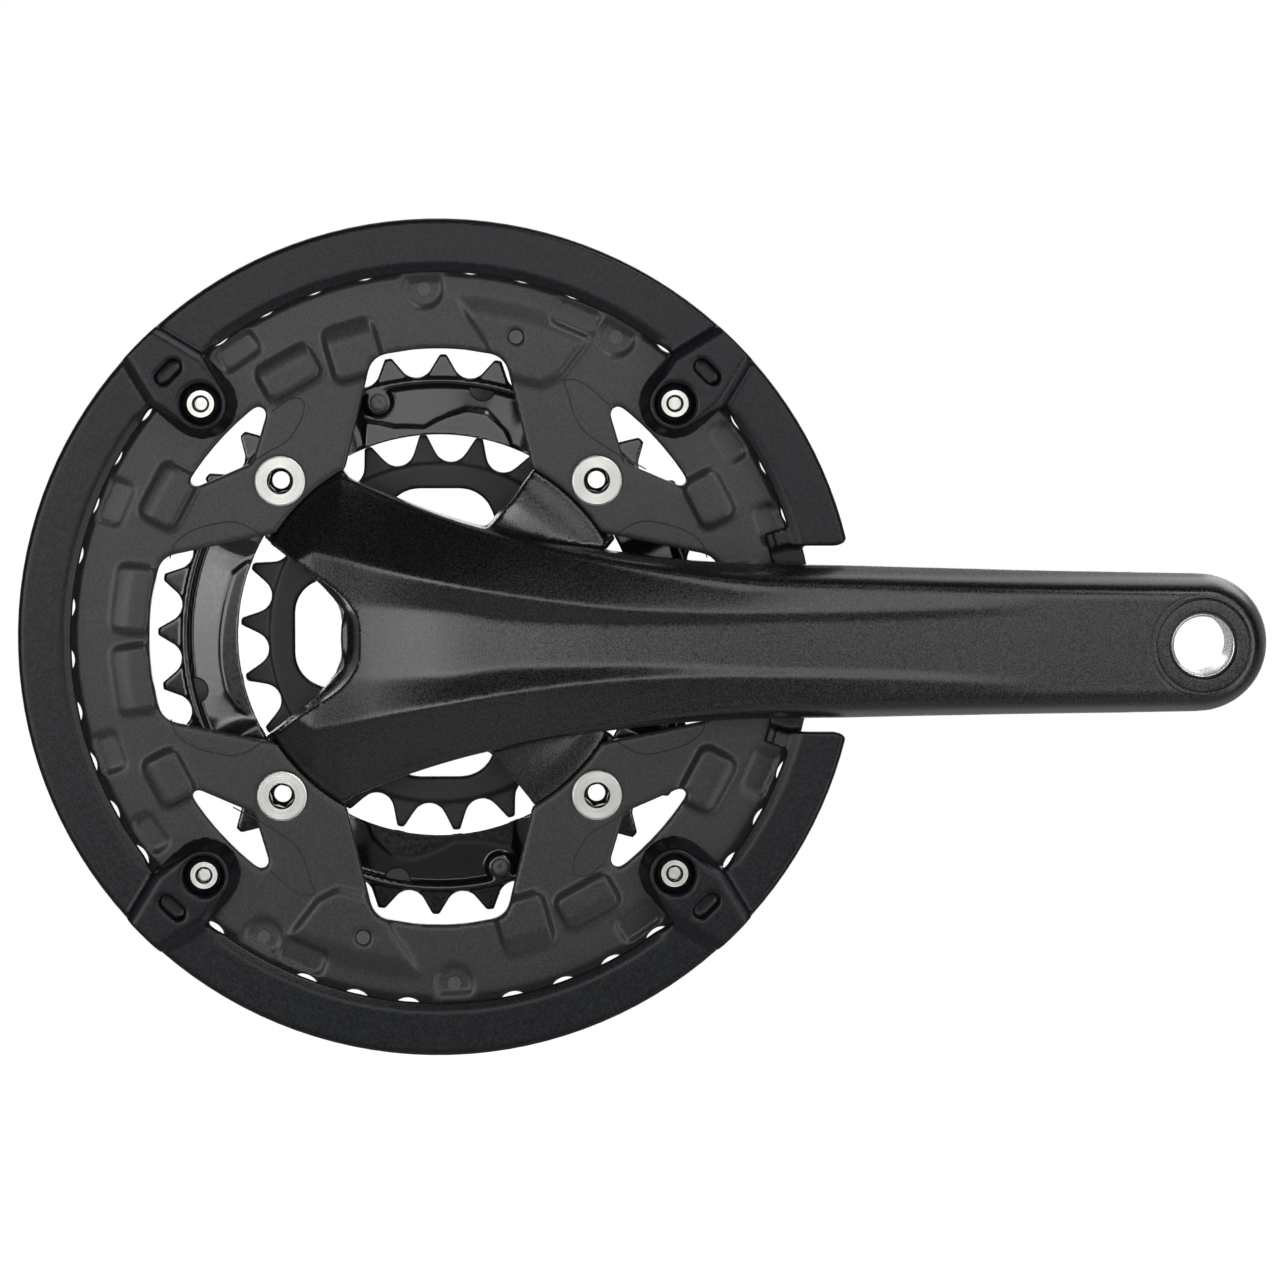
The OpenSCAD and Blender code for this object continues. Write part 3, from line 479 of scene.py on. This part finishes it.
def arm_rim(x, z):
    """Distance inward from the arm's edge, and half the arm's width."""
    prongs = np.sqrt(np.maximum(PRONG_RADIUS ** 2 - x * x, TIP_SQUARE))
    half = np.where(x < PRONGS_FROM, prongs, curve(x, HALF_WIDTH))
    return np.where(x > PEDAL_X, EYE_RADIUS - np.hypot(x - PEDAL_X, z), half - np.abs(z)), half


def arm_face(x, z):
    """Height of the arm's outer face: a flat channel, a wall up to each crest, a facet, a rounded edge."""
    rim, half = arm_rim(x, z)
    width = curve(x, EDGE_WIDTH)
    crest = np.minimum(curve(x, CREST_AT), CREST_MOST * half)
    channel = np.minimum(curve(x, FLOOR_AT), FLOOR_MOST * crest)
    across = np.abs(z)
    wall = bend((crest - across) / (crest - channel), WALL_SOFT)
    facet_width = np.maximum(half - np.minimum(width, EDGE_MOST * half) - crest, FACET_LEAST)
    facet = np.clip((across - crest) / facet_width, 0, 1)
    facet = (np.hypot(facet, CREST_SOFT) - CREST_SOFT) / (math.hypot(1, CREST_SOFT) - CREST_SOFT)
    return (curve(x, CREST) - wall * curve(x, CHANNEL)
            - curve(x, FALL) * ((1 - FACET_BOW) * facet + FACET_BOW * facet ** 2)
            - np.clip(1 - rim / width, 0, 1) ** EDGE_ROUND * curve(x, EDGE_FALL))


def notch_wall(place):
    """Place along X of the notch's wall."""
    up = np.clip((-place[:, 1] - NOTCH_FOOT) / NOTCH_HEIGHT, 0, 1)
    across = np.abs(place[:, 2])
    return (1 - up) * curve(across, NOTCH_BACK) + up * curve(across, NOTCH_FRONT)


# Step over which a slope is measured, and rounds in which the skin is laid on the face
PROBE = 0.05
FACE_ROUNDS = 6
# The skin is laid on the face from this share of the edge's width inward, over a further share of it,
# where it looks outward and lies this near the face
LAID_FROM = 0.05
LAID_OVER = 0.15
LOOKS_OUT = -0.12
NEAR_FACE = 1.2
# It is laid on the notch's wall where it lies this near the wall, clear of the arm's edge, not over the
# face, and higher than the ring, and where it lies near both it makes their common edge
NEAR_WALL = 0.42
CLEAR_OF_RIM = 0.6
OVER_FACE = 0.5
WALL_FROM = 54
NEAR_EDGE = 0.45
# Share of laying from which a vertex is left out of the later smoothing
LAID = 0.9
# Under the pedal hole's seats the skin is sunk by SEAT_SINK, inside SEAT_CUT from the axis, over a ramp
SEAT_CUT = 11.3
SEAT_RAMP = 0.7
SEAT_SINK = 1.2
# Outer wall of the seats' groove, outside which the flange follows the face
GROOVE_WALL = 10.82

laid_vertices = []


def dress_arm(place, normal):
    """Lays the skin's outer side on the arm's outer face and on the notch's wall, with a clean edge where
    they meet, and sinks it under the seats of the pedal hole."""
    rim, _ = arm_rim(place[:, 0], place[:, 2])
    inward = ease((rim / curve(place[:, 0], EDGE_WIDTH) - LAID_FROM) / LAID_OVER)
    inward *= normal[:, 1] < LOOKS_OUT
    for step in range(FACE_ROUNDS):
        x, z = place[:, 0], place[:, 2]
        wall = notch_wall(place)
        face = arm_face(x, z)
        slope_x = (arm_face(x + PROBE, z) - face) / PROBE
        slope_z = (arm_face(x, z + PROBE) - face) / PROBE
        steep = 1 + slope_x * slope_x + slope_z * slope_z
        off = -place[:, 1] - face
        if step == 0:
            gap = np.abs(off) / np.sqrt(steep)
            across = np.abs(z)
            lean = np.hypot(1, (curve(across + PROBE, NOTCH_FRONT) - curve(across, NOTCH_FRONT)) / PROBE)
            apart = (x - wall) / lean
            on_wall = (np.abs(apart) < NEAR_WALL) & (rim > CLEAR_OF_RIM)
            on_wall &= (off < OVER_FACE) & (-place[:, 1] > WALL_FROM)
            edge = on_wall & (gap < NEAR_EDGE)
            weight = np.where(on_wall, edge, inward * (gap < NEAR_FACE) * (apart > 0))
        place[on_wall, 0] += (wall - x)[on_wall]
        off = off * weight / steep
        place += np.stack((np.where(edge, 0, off * slope_x), np.where(edge, off * steep, off),
                           np.where(edge, 0, off * slope_z)), 1)
    laid_vertices.extend(np.nonzero((weight > LAID) | on_wall)[0].tolist())
    from_pedal = np.hypot(place[:, 0] - PEDAL_X, place[:, 2])
    sink = SEAT_SINK * np.clip((SEAT_CUT - from_pedal) / SEAT_RAMP, 0, 1)
    sunk = np.clip(place[:, 1], EYE_FACE + sink, EYE_BACK - sink)
    place[:, 1] = np.where(from_pedal < SEAT_CUT, sunk, place[:, 1])
    return place


def lay_flange(place, normal):
    """Lays the flange outside a seat's groove on the arm's rounded face."""
    flange = np.hypot(place[:, 0] - PEDAL_X, place[:, 2]) > GROOVE_WALL
    place[:, 1] -= flange * (arm_face(place[:, 0], place[:, 2]) + EYE_FACE)
    return place


arm = piece("arm_forging", node_shape("crank_arm"), "crank", black_anodised_forging)
even_skin(arm, voxel_mm=0.65)
reshape(arm, dress_arm)
soften(arm, rounds=1)
fair_faces(arm, rounds=14, crease=24, keep=laid_vertices)
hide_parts("crank_arm")

# Seats round the pedal hole, turned after forging, each with a groove and a flange round it: radius, and
# height over the eye's face
SEAT = [(7.25, -1.6), (11.95, -1.6), (11.95, 0.0), (11.85, 0.02), (11.55, 0.02), (11.25, 0.02),
        (10.95, 0.02), (10.85, -0.08), (10.8, -0.42), (10.55, -0.42), (10.5, -0.2), (10.4, -0.12),
        (8.05, -0.12), (7.9, -0.16), (7.35, -0.7), (7.25, -0.9)]
for name, face, side in (("pedal_seat_outer", EYE_FACE, -1), ("pedal_seat_inner", EYE_BACK, 1)):
    ring = spun([(radius, face + side * height) for radius, height in SEAT], PEDAL_X, steps=128)
    seat = piece(name, ring, "crank", black_anodised_forging)
    if face == EYE_FACE:
        reshape(seat, lay_flange)
    seat.modifiers.new("seat_edges", "WEIGHTED_NORMAL").keep_sharp = True

# Pedal thread, drawn as rings on a sleeve: pitch, the sleeve's outer radius and its gap at both faces, the
# thread's gap at the back and at both faces together, radii of root and crest, and where a turn's flank and
# crest end
THREAD_PITCH = 1.27
SLEEVE_RADIUS = 7.12
SLEEVE_GAP = 0.5
THREAD_GAP = 1.0
THREAD_SPARE = 2.2
THREAD_ROOT = 7.0
THREAD_CREST = 6.55
FLANK_END = 0.5
CREST_END = 0.77
thread = [(SLEEVE_RADIUS, EYE_FACE + SLEEVE_GAP), (SLEEVE_RADIUS, EYE_BACK - SLEEVE_GAP)]
turns = int((EYE_BACK - EYE_FACE - THREAD_SPARE) / THREAD_PITCH)
for i in range(turns):
    y = EYE_BACK - THREAD_GAP - i * THREAD_PITCH
    thread += [(THREAD_ROOT, y), (THREAD_CREST, y - FLANK_END), (THREAD_CREST, y - CREST_END)]
thread += [(THREAD_ROOT, EYE_BACK - THREAD_GAP - turns * THREAD_PITCH)]
piece("pedal_thread", spun(thread, PEDAL_X), "crank", bare_aluminium)


# Outer ring

# Raised pads of half the ring: angle, radius, length along the ring, radial width, height
RAISED_PADS = [(7.5, 71.6, 15.5, 9.5, 1.25), (27.3, 71.0, 12.0, 9.0, 1.4), (106.3, 70.0, 12.0, 13.0, 1.5),
               (119.2, 71.0, 14.0, 8.8, 1.5), (152.0, 71.0, 14.0, 9.5, 1.5), (172.5, 71.6, 15.5, 9.5, 1.25)]
# Their corners, the width of their walls, and where and over what width they run out to the rim
RAISED_CORNER = 2.2
RAISED_WALL = 1.4
RAISED_END = 78.5
RAISED_FADE = 6.5
# Large raised pad beside the upper window: outline, height, and walls and end as above
LARGE_PAD = [(4.5, 79.5), (7.3, 74.4), (11.0, 69.0), (13.0, 64.0), (17.5, 60.5), (24.0, 58.9), (28.5, 61.2),
             (35.7, 70.5), (38.5, 75.5), (22.0, 82.0)]
LARGE_RISE = 1.0
LARGE_WALL = 1.8
LARGE_END = 81.0
LARGE_FADE = 6.0
# Sunk pads near the rim: angle, radius, length, radial width, depth, and then their corners and walls,
# the share of the depth in the middle, and what a width further out adds to it
SUNK_PADS = [(19.0, 81.2, 9.0, 5.5, 0.9), (34.0, 81.2, 9.0, 5.0, 0.9), (66.7, 81.2, 10.8, 6.0, 0.9),
             (124.8, 81.4, 10.0, 6.0, 1.2), (157.0, 81.6, 10.5, 6.2, 0.9)]
SUNK_CORNER = 1.6
SUNK_WALL = 1.3
SUNK_MIDDLE = 0.75
SUNK_TILT = 0.5
# Dimples round the shift pins: angle and radius, and then their own radius, outer end, walls and depth
PIN_DIMPLES = [(59.5, 81.3), (92.3, 81.3)]
DIMPLE_RADIUS = 4.3
DIMPLE_END = 2.3
DIMPLE_WALL = 1.1
DIMPLE_DEPTH = 0.7
# Blocks that fill the CAD ring's plain hollows before the relief is stamped: angle, length, radial width
FILLS = [(19, 9, 5.5), (34, 9, 5), (66.7, 11, 5.5), (124.8, 9.5, 5.5), (157.5, 9, 5.5), (59.5, 9, 9),
         (92.3, 9, 9)]
FILL_AT = 81.3
FILL_DEPTH = 1.5
FILL_SPARE = 1
# The relief is stamped out to this radius, in the skin down to this depth under the face
RELIEF_END = 84.2
RELIEF_SKIN = 0.5


def ring_relief(x, z, radius):
    """Height of the stamped relief over the outer ring's face."""
    height = np.zeros(len(x))
    for turn in HALF_TURNS:
        for angle, at, length, width, rise in RAISED_PADS:
            u, v = along_and_out(x, z, at, angle + turn)
            wall = ease(0.5 - box_distance(u, v, length, width, RAISED_CORNER) / RAISED_WALL)
            height = np.maximum(height, rise * wall * ease((RAISED_END - radius) / RAISED_FADE))
        sign = 1 if turn == 0 else -1
        wall = ease(0.5 - outline_distance(sign * x, sign * z, LARGE_PAD) / LARGE_WALL)
        height = np.maximum(height, LARGE_RISE * wall * ease((LARGE_END - radius) / LARGE_FADE))
    for turn in HALF_TURNS:
        for angle, at, length, width, depth in SUNK_PADS:
            u, v = along_and_out(x, z, at, angle + turn)
            wall = ease(0.5 - box_distance(u, v, length, width, SUNK_CORNER) / SUNK_WALL)
            height = height * (1 - wall) - depth * wall * (SUNK_MIDDLE + SUNK_TILT * v / width)
        for angle, at in PIN_DIMPLES:
            u, v = along_and_out(x, z, at, angle + turn)
            wall = ease(0.5 - np.maximum(np.hypot(u, v) - DIMPLE_RADIUS, v - DIMPLE_END) / DIMPLE_WALL)
            height = height * (1 - wall) - DIMPLE_DEPTH * wall
    return height


def stamp_outer_ring(place, normal):
    """Stamps the relief into the outer ring's face."""
    x, z, radius, _ = plan(place)
    front = (place[:, 1] < OUTER_FACE + RELIEF_SKIN) & (radius < RELIEF_END)
    place[front, 1] -= ring_relief(x, z, radius)[front]
    return place


# The CAD ring's plain pads are cut off at its face, and its plain hollows are filled
shape = node_shape("outer_chainring")
bmesh.ops.bisect_plane(shape, geom=shape.verts[:] + shape.edges[:] + shape.faces[:], dist=SEAM,
                       plane_co=(0, OUTER_FACE * MM, 0), plane_no=(0, -1, 0), clear_outer=True)
bmesh.ops.triangle_fill(shape, edges=[e for e in shape.edges if e.is_boundary], use_beauty=True,
                        normal=(0, -1, 0))
for turn in HALF_TURNS:
    for angle, length, width in FILLS:
        block = bmesh.ops.create_cube(shape, size=1.0)["verts"]
        bmesh.ops.scale(shape, verts=block,
                        vec=((width + FILL_SPARE) * MM, FILL_DEPTH * MM, (length + FILL_SPARE) * MM))
        bmesh.ops.translate(shape, verts=block, vec=(FILL_AT * MM, (OUTER_FACE + FILL_DEPTH / 2) * MM, 0))
        bmesh.ops.rotate(shape, verts=block, cent=(0, 0, 0), matrix=round_spindle(angle + turn))
outer_ring = piece("outer_ring_stamping", shape, "crank", grey_coated_steel)
even_skin(outer_ring, voxel_mm=0.58)
reshape(outer_ring, stamp_outer_ring)
soften(outer_ring, rounds=2)
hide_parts("outer_chainring")

# Coined creases in the ring's face, drawn as thin dark tubes of painted shade for their grooves, as (x, z):
# each of the first two twice, half a turn apart, and the third at all four sides of the windows. Then the
# radius of a line, and how far it stands in front
UPPER_LEFT = [(-38.7, 52.8), (-33.7, 55.9), (-31.4, 55.3), (-31.2, 53.4), (-33.3, 48.4), (-35.6, 45.7),
              (-39.1, 43.7), (-44.0, 40.7)]
UPPER_RIGHT = [(39.8, 54.4), (31.5, 60.2), (29.4, 59.8), (29.9, 57.7), (33.1, 49.3), (36.6, 46.1),
               (48.2, 39.4)]
WINDOW_SIDE = [(62.5, 18.8), (60.9, 22.6), (50.9, 27.0), (46.7, 27.1), (40.8, 24.0)]
CREASE_RADIUS = 0.16
CREASE_PROUD = 0.02
lines = [[(s * x, s * z) for x, z in line] for s in (1, -1) for line in (UPPER_LEFT, UPPER_RIGHT)]
lines += [[(sx * x, sz * z) for x, z in WINDOW_SIDE] for sx in (1, -1) for sz in (1, -1)]
# Thin dark tubes along the creases: painted shade where the grooves would be in shadow
crease = bpy.data.curves.new("painted_crease_shade", "CURVE")
crease.dimensions = "3D"
crease.bevel_depth = CREASE_RADIUS * MM
crease.bevel_resolution = 1
for line in lines:
    spline = crease.splines.new("BEZIER")
    spline.bezier_points.add(len(line) - 1)
    for point, (x, z) in zip(spline.bezier_points, line):
        point.co = (x * MM, (OUTER_FACE - CREASE_PROUD) * MM, z * MM)
        point.handle_left_type = "AUTO"
        point.handle_right_type = "AUTO"
creases = bpy.data.objects.new("painted_crease_shade", crease)
scene.collection.objects.link(creases)
crease.materials.append(crease_shadow)
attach(creases, "crank")


# Middle ring

# Inner edge of the pressed hollow over half the ring, as angle and radius, and its outer edge and wall
HOLLOW_EDGE = [(0, 50.9), (7.5, 51.3), (15, 51.3), (20, 49.8), (24, 47.5), (40, 47.0), (69, 47.0),
               (72, 49.7), (78, 52.8), (83, 52.7), (90, 50.1), (94, 48.3), (102, 49.4), (109, 52.6),
               (111.5, 47.0), (140, 47.0), (158, 47.2), (163, 49.8), (169, 50.1), (180, 50.9)]
HOLLOW_END = 58.9
HOLLOW_WALL = 0.5
# Depth of the ledge inside that edge, of the step and the dish beyond it, and the step's width
LEDGE_DEPTH = 0.8
STEP_DEPTH = 0.3
DISH_DEPTH = 1.1
STEP_WIDTH = 1.2
# Bolt lugs, which stay flat: their circle and angles, the flat's radius, the slope down from it, and how
# softly that slope meets the hollow and what the softness takes from the depth
LUG_CIRCLE = 52
LUG_ANGLES = (45, 135, 225, 315)
LUG_FLAT = 16.5
LUG_SLOPE = 0.37
LUG_SOFT = 0.2
LUG_LOSS = 0.03
# The skin that is pressed: its depth under the face, its outer radius and how far it has to look outward
PRESSED_SKIN = 1.0
PRESSED_END = 60.4
PRESSED_LOOK = -0.3
# Rivets of the shifting ramps, each on a flat boss: angle and radius, radius and edge of the boss, and
# the head as radius and depth from the ring's face
RIVET_ANGLE = 104.5
RIVET_AT = 56.6
BOSS_RADIUS = 2.9
BOSS_EDGE = 0.8
RIVET = [(0.0001, 0.6), (2.0, 0.6), (2.0, -0.1), (1.7, -0.3), (0.0001, -0.42)]
# Half-round clips of the ramps: angles, radius of their middle, own radius, height, depth of the foot and
# bevel, and the least angle in radians of an edge that is bevelled
CLIP_ANGLES = (80.0, 192.7)
CLIP_AT = 59.0
CLIP_RADIUS = 3.2
CLIP_HEIGHT = 1.2
CLIP_DEPTH = 2.4
CLIP_BEVEL = 0.32
CLIP_CORNER = 0.9


def press_middle_ring(place, normal):
    """Presses the hollow between the bolt lugs into the middle ring's face."""
    x, z, radius, angle = plan(place)
    front = (place[:, 1] < MIDDLE_FACE + PRESSED_SKIN) & (radius < PRESSED_END)
    edge = np.interp(angle % 180, [a for a, _ in HOLLOW_EDGE], [r for _, r in HOLLOW_EDGE])
    dish = DISH_DEPTH * np.clip((radius - edge) / (HOLLOW_END - edge), 0, 1)
    ledge = LEDGE_DEPTH + (STEP_DEPTH + dish) * ease((radius - edge) / STEP_WIDTH)
    lug = np.min([from_place(x, z, LUG_CIRCLE, a) for a in LUG_ANGLES], 0)
    slope = LUG_SLOPE * np.maximum(lug - LUG_FLAT, 0)
    depth = np.maximum(lesser(ledge, slope, LUG_SOFT) + LUG_LOSS, 0)
    depth *= ease((HOLLOW_END - radius) / HOLLOW_WALL)
    for turn in HALF_TURNS:
        boss = from_place(x, z, RIVET_AT, RIVET_ANGLE + turn)
        depth *= ease((boss - BOSS_RADIUS) / BOSS_EDGE)
    pressed = front & (normal[:, 1] < PRESSED_LOOK)
    place[pressed, 1] = MIDDLE_FACE + depth[pressed]
    return place


def ramp_clip(angle):
    """A half disc with broken edges that stands in the middle ring's hollow."""
    clip = bmesh.new()
    bmesh.ops.create_circle(clip, cap_ends=True, segments=48, radius=CLIP_RADIUS * MM)
    bmesh.ops.bisect_plane(clip, geom=clip.verts[:] + clip.edges[:] + clip.faces[:], plane_co=(0, 0, 0),
                           plane_no=(1, 0, 0), clear_outer=True)
    lifted = bmesh.ops.extrude_face_region(clip, geom=clip.faces[:])["geom"]
    top = [v for v in lifted if isinstance(v, bmesh.types.BMVert)]
    bmesh.ops.translate(clip, verts=top, vec=(0, 0, CLIP_HEIGHT * MM))
    bmesh.ops.recalc_face_normals(clip, faces=clip.faces)
    corners = [e for e in clip.edges if e.calc_face_angle(0.0) > CLIP_CORNER]
    bmesh.ops.bevel(clip, geom=corners, offset=CLIP_BEVEL * MM, affect="EDGES", segments=2, profile=0.5,
                    material=-1)
    bmesh.ops.rotate(clip, verts=clip.verts, cent=(0, 0, 0), matrix=Matrix.Rotation(math.pi / 2, 3, "X"))
    bmesh.ops.translate(clip, verts=clip.verts, vec=(CLIP_AT * MM, (MIDDLE_FACE + CLIP_DEPTH) * MM, 0))
    bmesh.ops.rotate(clip, verts=clip.verts, cent=(0, 0, 0), matrix=round_spindle(angle))
    return clip


middle_ring = piece("middle_ring_stamping", node_shape("middle_chainring"), "crank",
                    gloss_black_steel)
even_skin(middle_ring, voxel_mm=0.42)
reshape(middle_ring, press_middle_ring)
soften(middle_ring, rounds=3)
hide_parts("middle_chainring")

for turn in HALF_TURNS:
    rivet = spun([(radius, MIDDLE_FACE + depth) for radius, depth in RIVET], steps=40)
    rivet_x, rivet_z = on_ring(RIVET_AT, RIVET_ANGLE + turn)
    bmesh.ops.translate(rivet, verts=rivet.verts, vec=(rivet_x * MM, 0, rivet_z * MM))
    piece(f"ramp_rivet_{turn}", rivet, "crank", dark_steel)
    for angle in CLIP_ANGLES:
        piece(f"ramp_clip_{int(angle + turn) % 360}", ramp_clip(angle + turn), "crank",
              satin_black_steel)


# Inner ring

inner_ring = piece("inner_ring_cut", node_shape("inner_chainring"), "crank",
                   satin_black_steel)
even_skin(inner_ring, voxel_mm=0.42)
soften(inner_ring, rounds=2)
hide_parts("inner_chainring")


# Guard

# Inner radius of the guard's band, how far its edge is drawn over the ring's teeth, and over what width
GUARD_INNER = 85.5
DRAWN_IN = 0.35
DRAWN_OVER = 3.5
# Width and fall of the bevel along that edge, how deep under the face the skin is still bevelled, and how
# far it has to look outward to lie on the bevel
BEVEL_WIDTH = 2.1
BEVEL_FALL = 0.9
BEVEL_SKIN = 1.0
BEVEL_LOOK = -0.4
# The band's skin that is drawn in: its depth and how far it lies from the edge
BAND_SKIN = 2.6
BAND_WIDTH = 4.0
# Half the width of a screw lug, which stays as it is, and the change beside it
SCREW_LUG_HALF = 10.5
SCREW_LUG_FADE = 3.0


def bevel_guard(place, normal):
    """Draws the band's inner edge in between the lugs and gives it a wide, shallow bevel."""
    x, z, radius, angle = plan(place)
    aside = radius * np.abs(np.sin(np.radians(angle % 90 - 45)))
    free = ease((aside - SCREW_LUG_HALF) / SCREW_LUG_FADE)
    band = (place[:, 1] < GUARD_FACE + BAND_SKIN) & (np.abs(radius - GUARD_INNER) < BAND_WIDTH)
    shift = np.where(band, DRAWN_IN * free * (1 - ease((radius - GUARD_INNER) / DRAWN_OVER)), 0)
    place[:, 0] -= x / radius * shift
    place[:, 2] -= z / radius * shift
    rim = np.clip(1 - (radius - shift - GUARD_INNER + DRAWN_IN) / BEVEL_WIDTH, 0, 1)
    depth = np.where(normal[:, 1] < BEVEL_LOOK, GUARD_FACE + BEVEL_FALL * rim,
                     np.maximum(place[:, 1], GUARD_FACE + BEVEL_FALL))
    bevelled = band & (place[:, 1] < GUARD_FACE + BEVEL_SKIN)
    place[:, 1] = np.where(bevelled, place[:, 1] + (depth - place[:, 1]) * free, place[:, 1])
    return place


guard = piece("guard_moulding", node_shape("chain_guard"), "crank", moulded_black_plastic)
even_skin(guard, voxel_mm=0.5)
reshape(guard, bevel_guard)
soften(guard, rounds=1)
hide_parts("chain_guard")


# Machined and small moulded pieces that keep their CAD shape: node, finish, width of its broken edges

for node, finish, width in (
        ("spindle", turned_steel, 0.2), ("shift_pins", dark_steel, 0.15),
        ("chainring_nuts", plated_steel, 0.2), ("inner_ring_bolts", plated_steel, 0.2),
        ("sleeve", moulded_nylon, 0.2), ("sleeve_seals", seal_rubber, 0.05),
        ("right_spacers", moulded_nylon, 0.2), ("left_spacer", moulded_nylon, 0.2)):
    crisp(node, finish, width)
# The heads that show in the front have rounder edges
crisp("guard_screws", screw_steel, 0.35, angle=25, segments=3)
crisp("chainring_bolts", bolt_steel, 0.25, angle=25, segments=3)
for side in ("right", "left"):
    for node, finish, width in (
            ("cup", black_turned_cup, 0.25), ("outer_race", bearing_steel, 0.15),
            ("inner_race", bearing_steel, 0.15), ("balls", bearing_steel, 0.05),
            ("cage", stamped_brass, 0.05), ("shields", seal_rubber, 0.1), ("bush", moulded_nylon, 0.15)):
        crisp(f"{side}_{node}", finish, width)


# Camera

target = Vector((46.8, -60.7, -0.4)) * MM
viewpoint = Vector((14.3, -1180.7, 88.3)) * MM
camera = bpy.data.objects.new("camera", bpy.data.cameras.new("camera"))
scene.collection.objects.link(camera)
camera.location = viewpoint
camera.rotation_euler = (target - viewpoint).to_track_quat("-Z", "Y").to_euler()
camera.data.lens = 135.6
camera.data.sensor_width = 36.0
camera.data.clip_start = 0.01
camera.data.clip_end = 50.0
scene.camera = camera


# White floor, which the camera sees as pure white and reflections see dimly

# Half its width and its height, its grey, and how bright reflections see it
FLOOR_HALF = 6.0
FLOOR_HEIGHT = -1.05
FLOOR_GREY = 0.4
FLOOR_REFLECTED = 0.2
floor_shape = bmesh.new()
bmesh.ops.create_grid(floor_shape, x_segments=1, y_segments=1, size=FLOOR_HALF)
bmesh.ops.translate(floor_shape, verts=floor_shape.verts, vec=(0, 0, FLOOR_HEIGHT))
floor_mesh = bpy.data.meshes.new("floor")
floor_shape.to_mesh(floor_mesh)
floor_shape.free()
floor = bpy.data.objects.new("floor", floor_mesh)
scene.collection.objects.link(floor)
# Matte white paper: even white without a shine, in which the shadow stays
white_sweep = bpy.data.materials.new("white_sweep")
tree = empty_tree(white_sweep)
path = add(tree, "ShaderNodeLightPath")
matte = add(tree, "ShaderNodeBsdfDiffuse", [("Color", (FLOOR_GREY, FLOOR_GREY, FLOOR_GREY, 1))])
reflected = add(tree, "ShaderNodeMath", [
    (0, path.outputs["Is Glossy Ray"]), (1, path.outputs["Is Transmission Ray"])], operation="MAXIMUM")
dimmed = add(tree, "ShaderNodeMath", [
    (0, reflected.outputs[0]), (1, FLOOR_REFLECTED)], operation="MULTIPLY")
strength = add(tree, "ShaderNodeMath", [
    (0, path.outputs["Is Camera Ray"]), (1, dimmed.outputs[0])], operation="MAXIMUM")
glow = add(tree, "ShaderNodeEmission", [("Color", (1, 1, 1, 1)), ("Strength", strength.outputs[0])])
seen = add(tree, "ShaderNodeAddShader", [(0, matte.outputs[0]), (1, glow.outputs[0])])
add(tree, "ShaderNodeOutputMaterial", [("Surface", seen.outputs[0])])
floor_mesh.materials.append(white_sweep)


# Room: dim all round and pale behind the object, and white to the camera

# Brightness of both, and how far behind the object the room is all pale
ROOM_DIM = 0.05
ROOM_PALE = 0.4
PALE_FROM = 0.4
world = bpy.data.worlds.new("studio")
scene.world = world
tree = empty_tree(world)
path = add(tree, "ShaderNodeLightPath")
direction = add(tree, "ShaderNodeTexCoord")
parts = add(tree, "ShaderNodeSeparateXYZ", [(0, direction.outputs["Generated"])])
room = add(tree, "ShaderNodeMapRange", [
    ("Value", parts.outputs["Y"]), ("From Min", 0.0), ("From Max", PALE_FROM),
    ("To Min", ROOM_DIM), ("To Max", ROOM_PALE)], interpolation_type="SMOOTHSTEP")
bright = add(tree, "ShaderNodeMath", [
    (0, room.outputs[0]), (1, path.outputs["Is Camera Ray"])], operation="MAXIMUM")
back = add(tree, "ShaderNodeBackground", [("Color", (1, 1, 1, 1)), ("Strength", bright.outputs[0])])
add(tree, "ShaderNodeOutputWorld", [("Surface", back.outputs[0])])


# Lamps

def softbox(name, place, aim, size, watts):
    """A rectangular lamp that faces the place it is aimed at."""
    lamp = bpy.data.lights.new(name, "AREA")
    lamp.shape = "RECTANGLE"
    lamp.size, lamp.size_y = size
    lamp.energy = watts
    obj = bpy.data.objects.new(name, lamp)
    scene.collection.objects.link(obj)
    obj.location = place
    obj.rotation_euler = (Vector(aim) - Vector(place)).to_track_quat("-Z", "Y").to_euler()


softbox("front_box", place=(0.02, -1.7, 0.24), aim=(0.02, -0.08, 0.0), size=(1.3, 0.7), watts=8.2)
softbox("left_box", place=(-0.7, -1.24, -0.05), aim=(0.0, -0.06, 0.0), size=(0.72, 0.56), watts=6.3)
softbox("right_box", place=(0.87, -1.08, 0.0), aim=(0.06, -0.06, 0.0), size=(0.38, 1.8), watts=8.9)
softbox("high_box", place=(0.56, -1.16, 1.1), aim=(-0.02, -0.06, 0.02), size=(0.42, 0.42), watts=5.8)
softbox("back_box", place=(0.05, 1.75, 0.0), aim=(0.05, 0.0, 0.0), size=(1.4, 0.9), watts=8.0)
softbox("back_left_box", place=(-0.75, 1.1, 0.9), aim=(0.0, 0.0, 0.0), size=(0.9, 0.8), watts=4.6)
softbox("back_right_box", place=(0.8, 1.1, 0.9), aim=(0.06, 0.0, 0.0), size=(0.9, 0.8), watts=4.6)
softbox("top_box", place=(0.06, 0.7, 1.2), aim=(0.06, 0.0, 0.0), size=(1.0, 0.5), watts=2.5)

scene.view_settings.view_transform = "Standard"
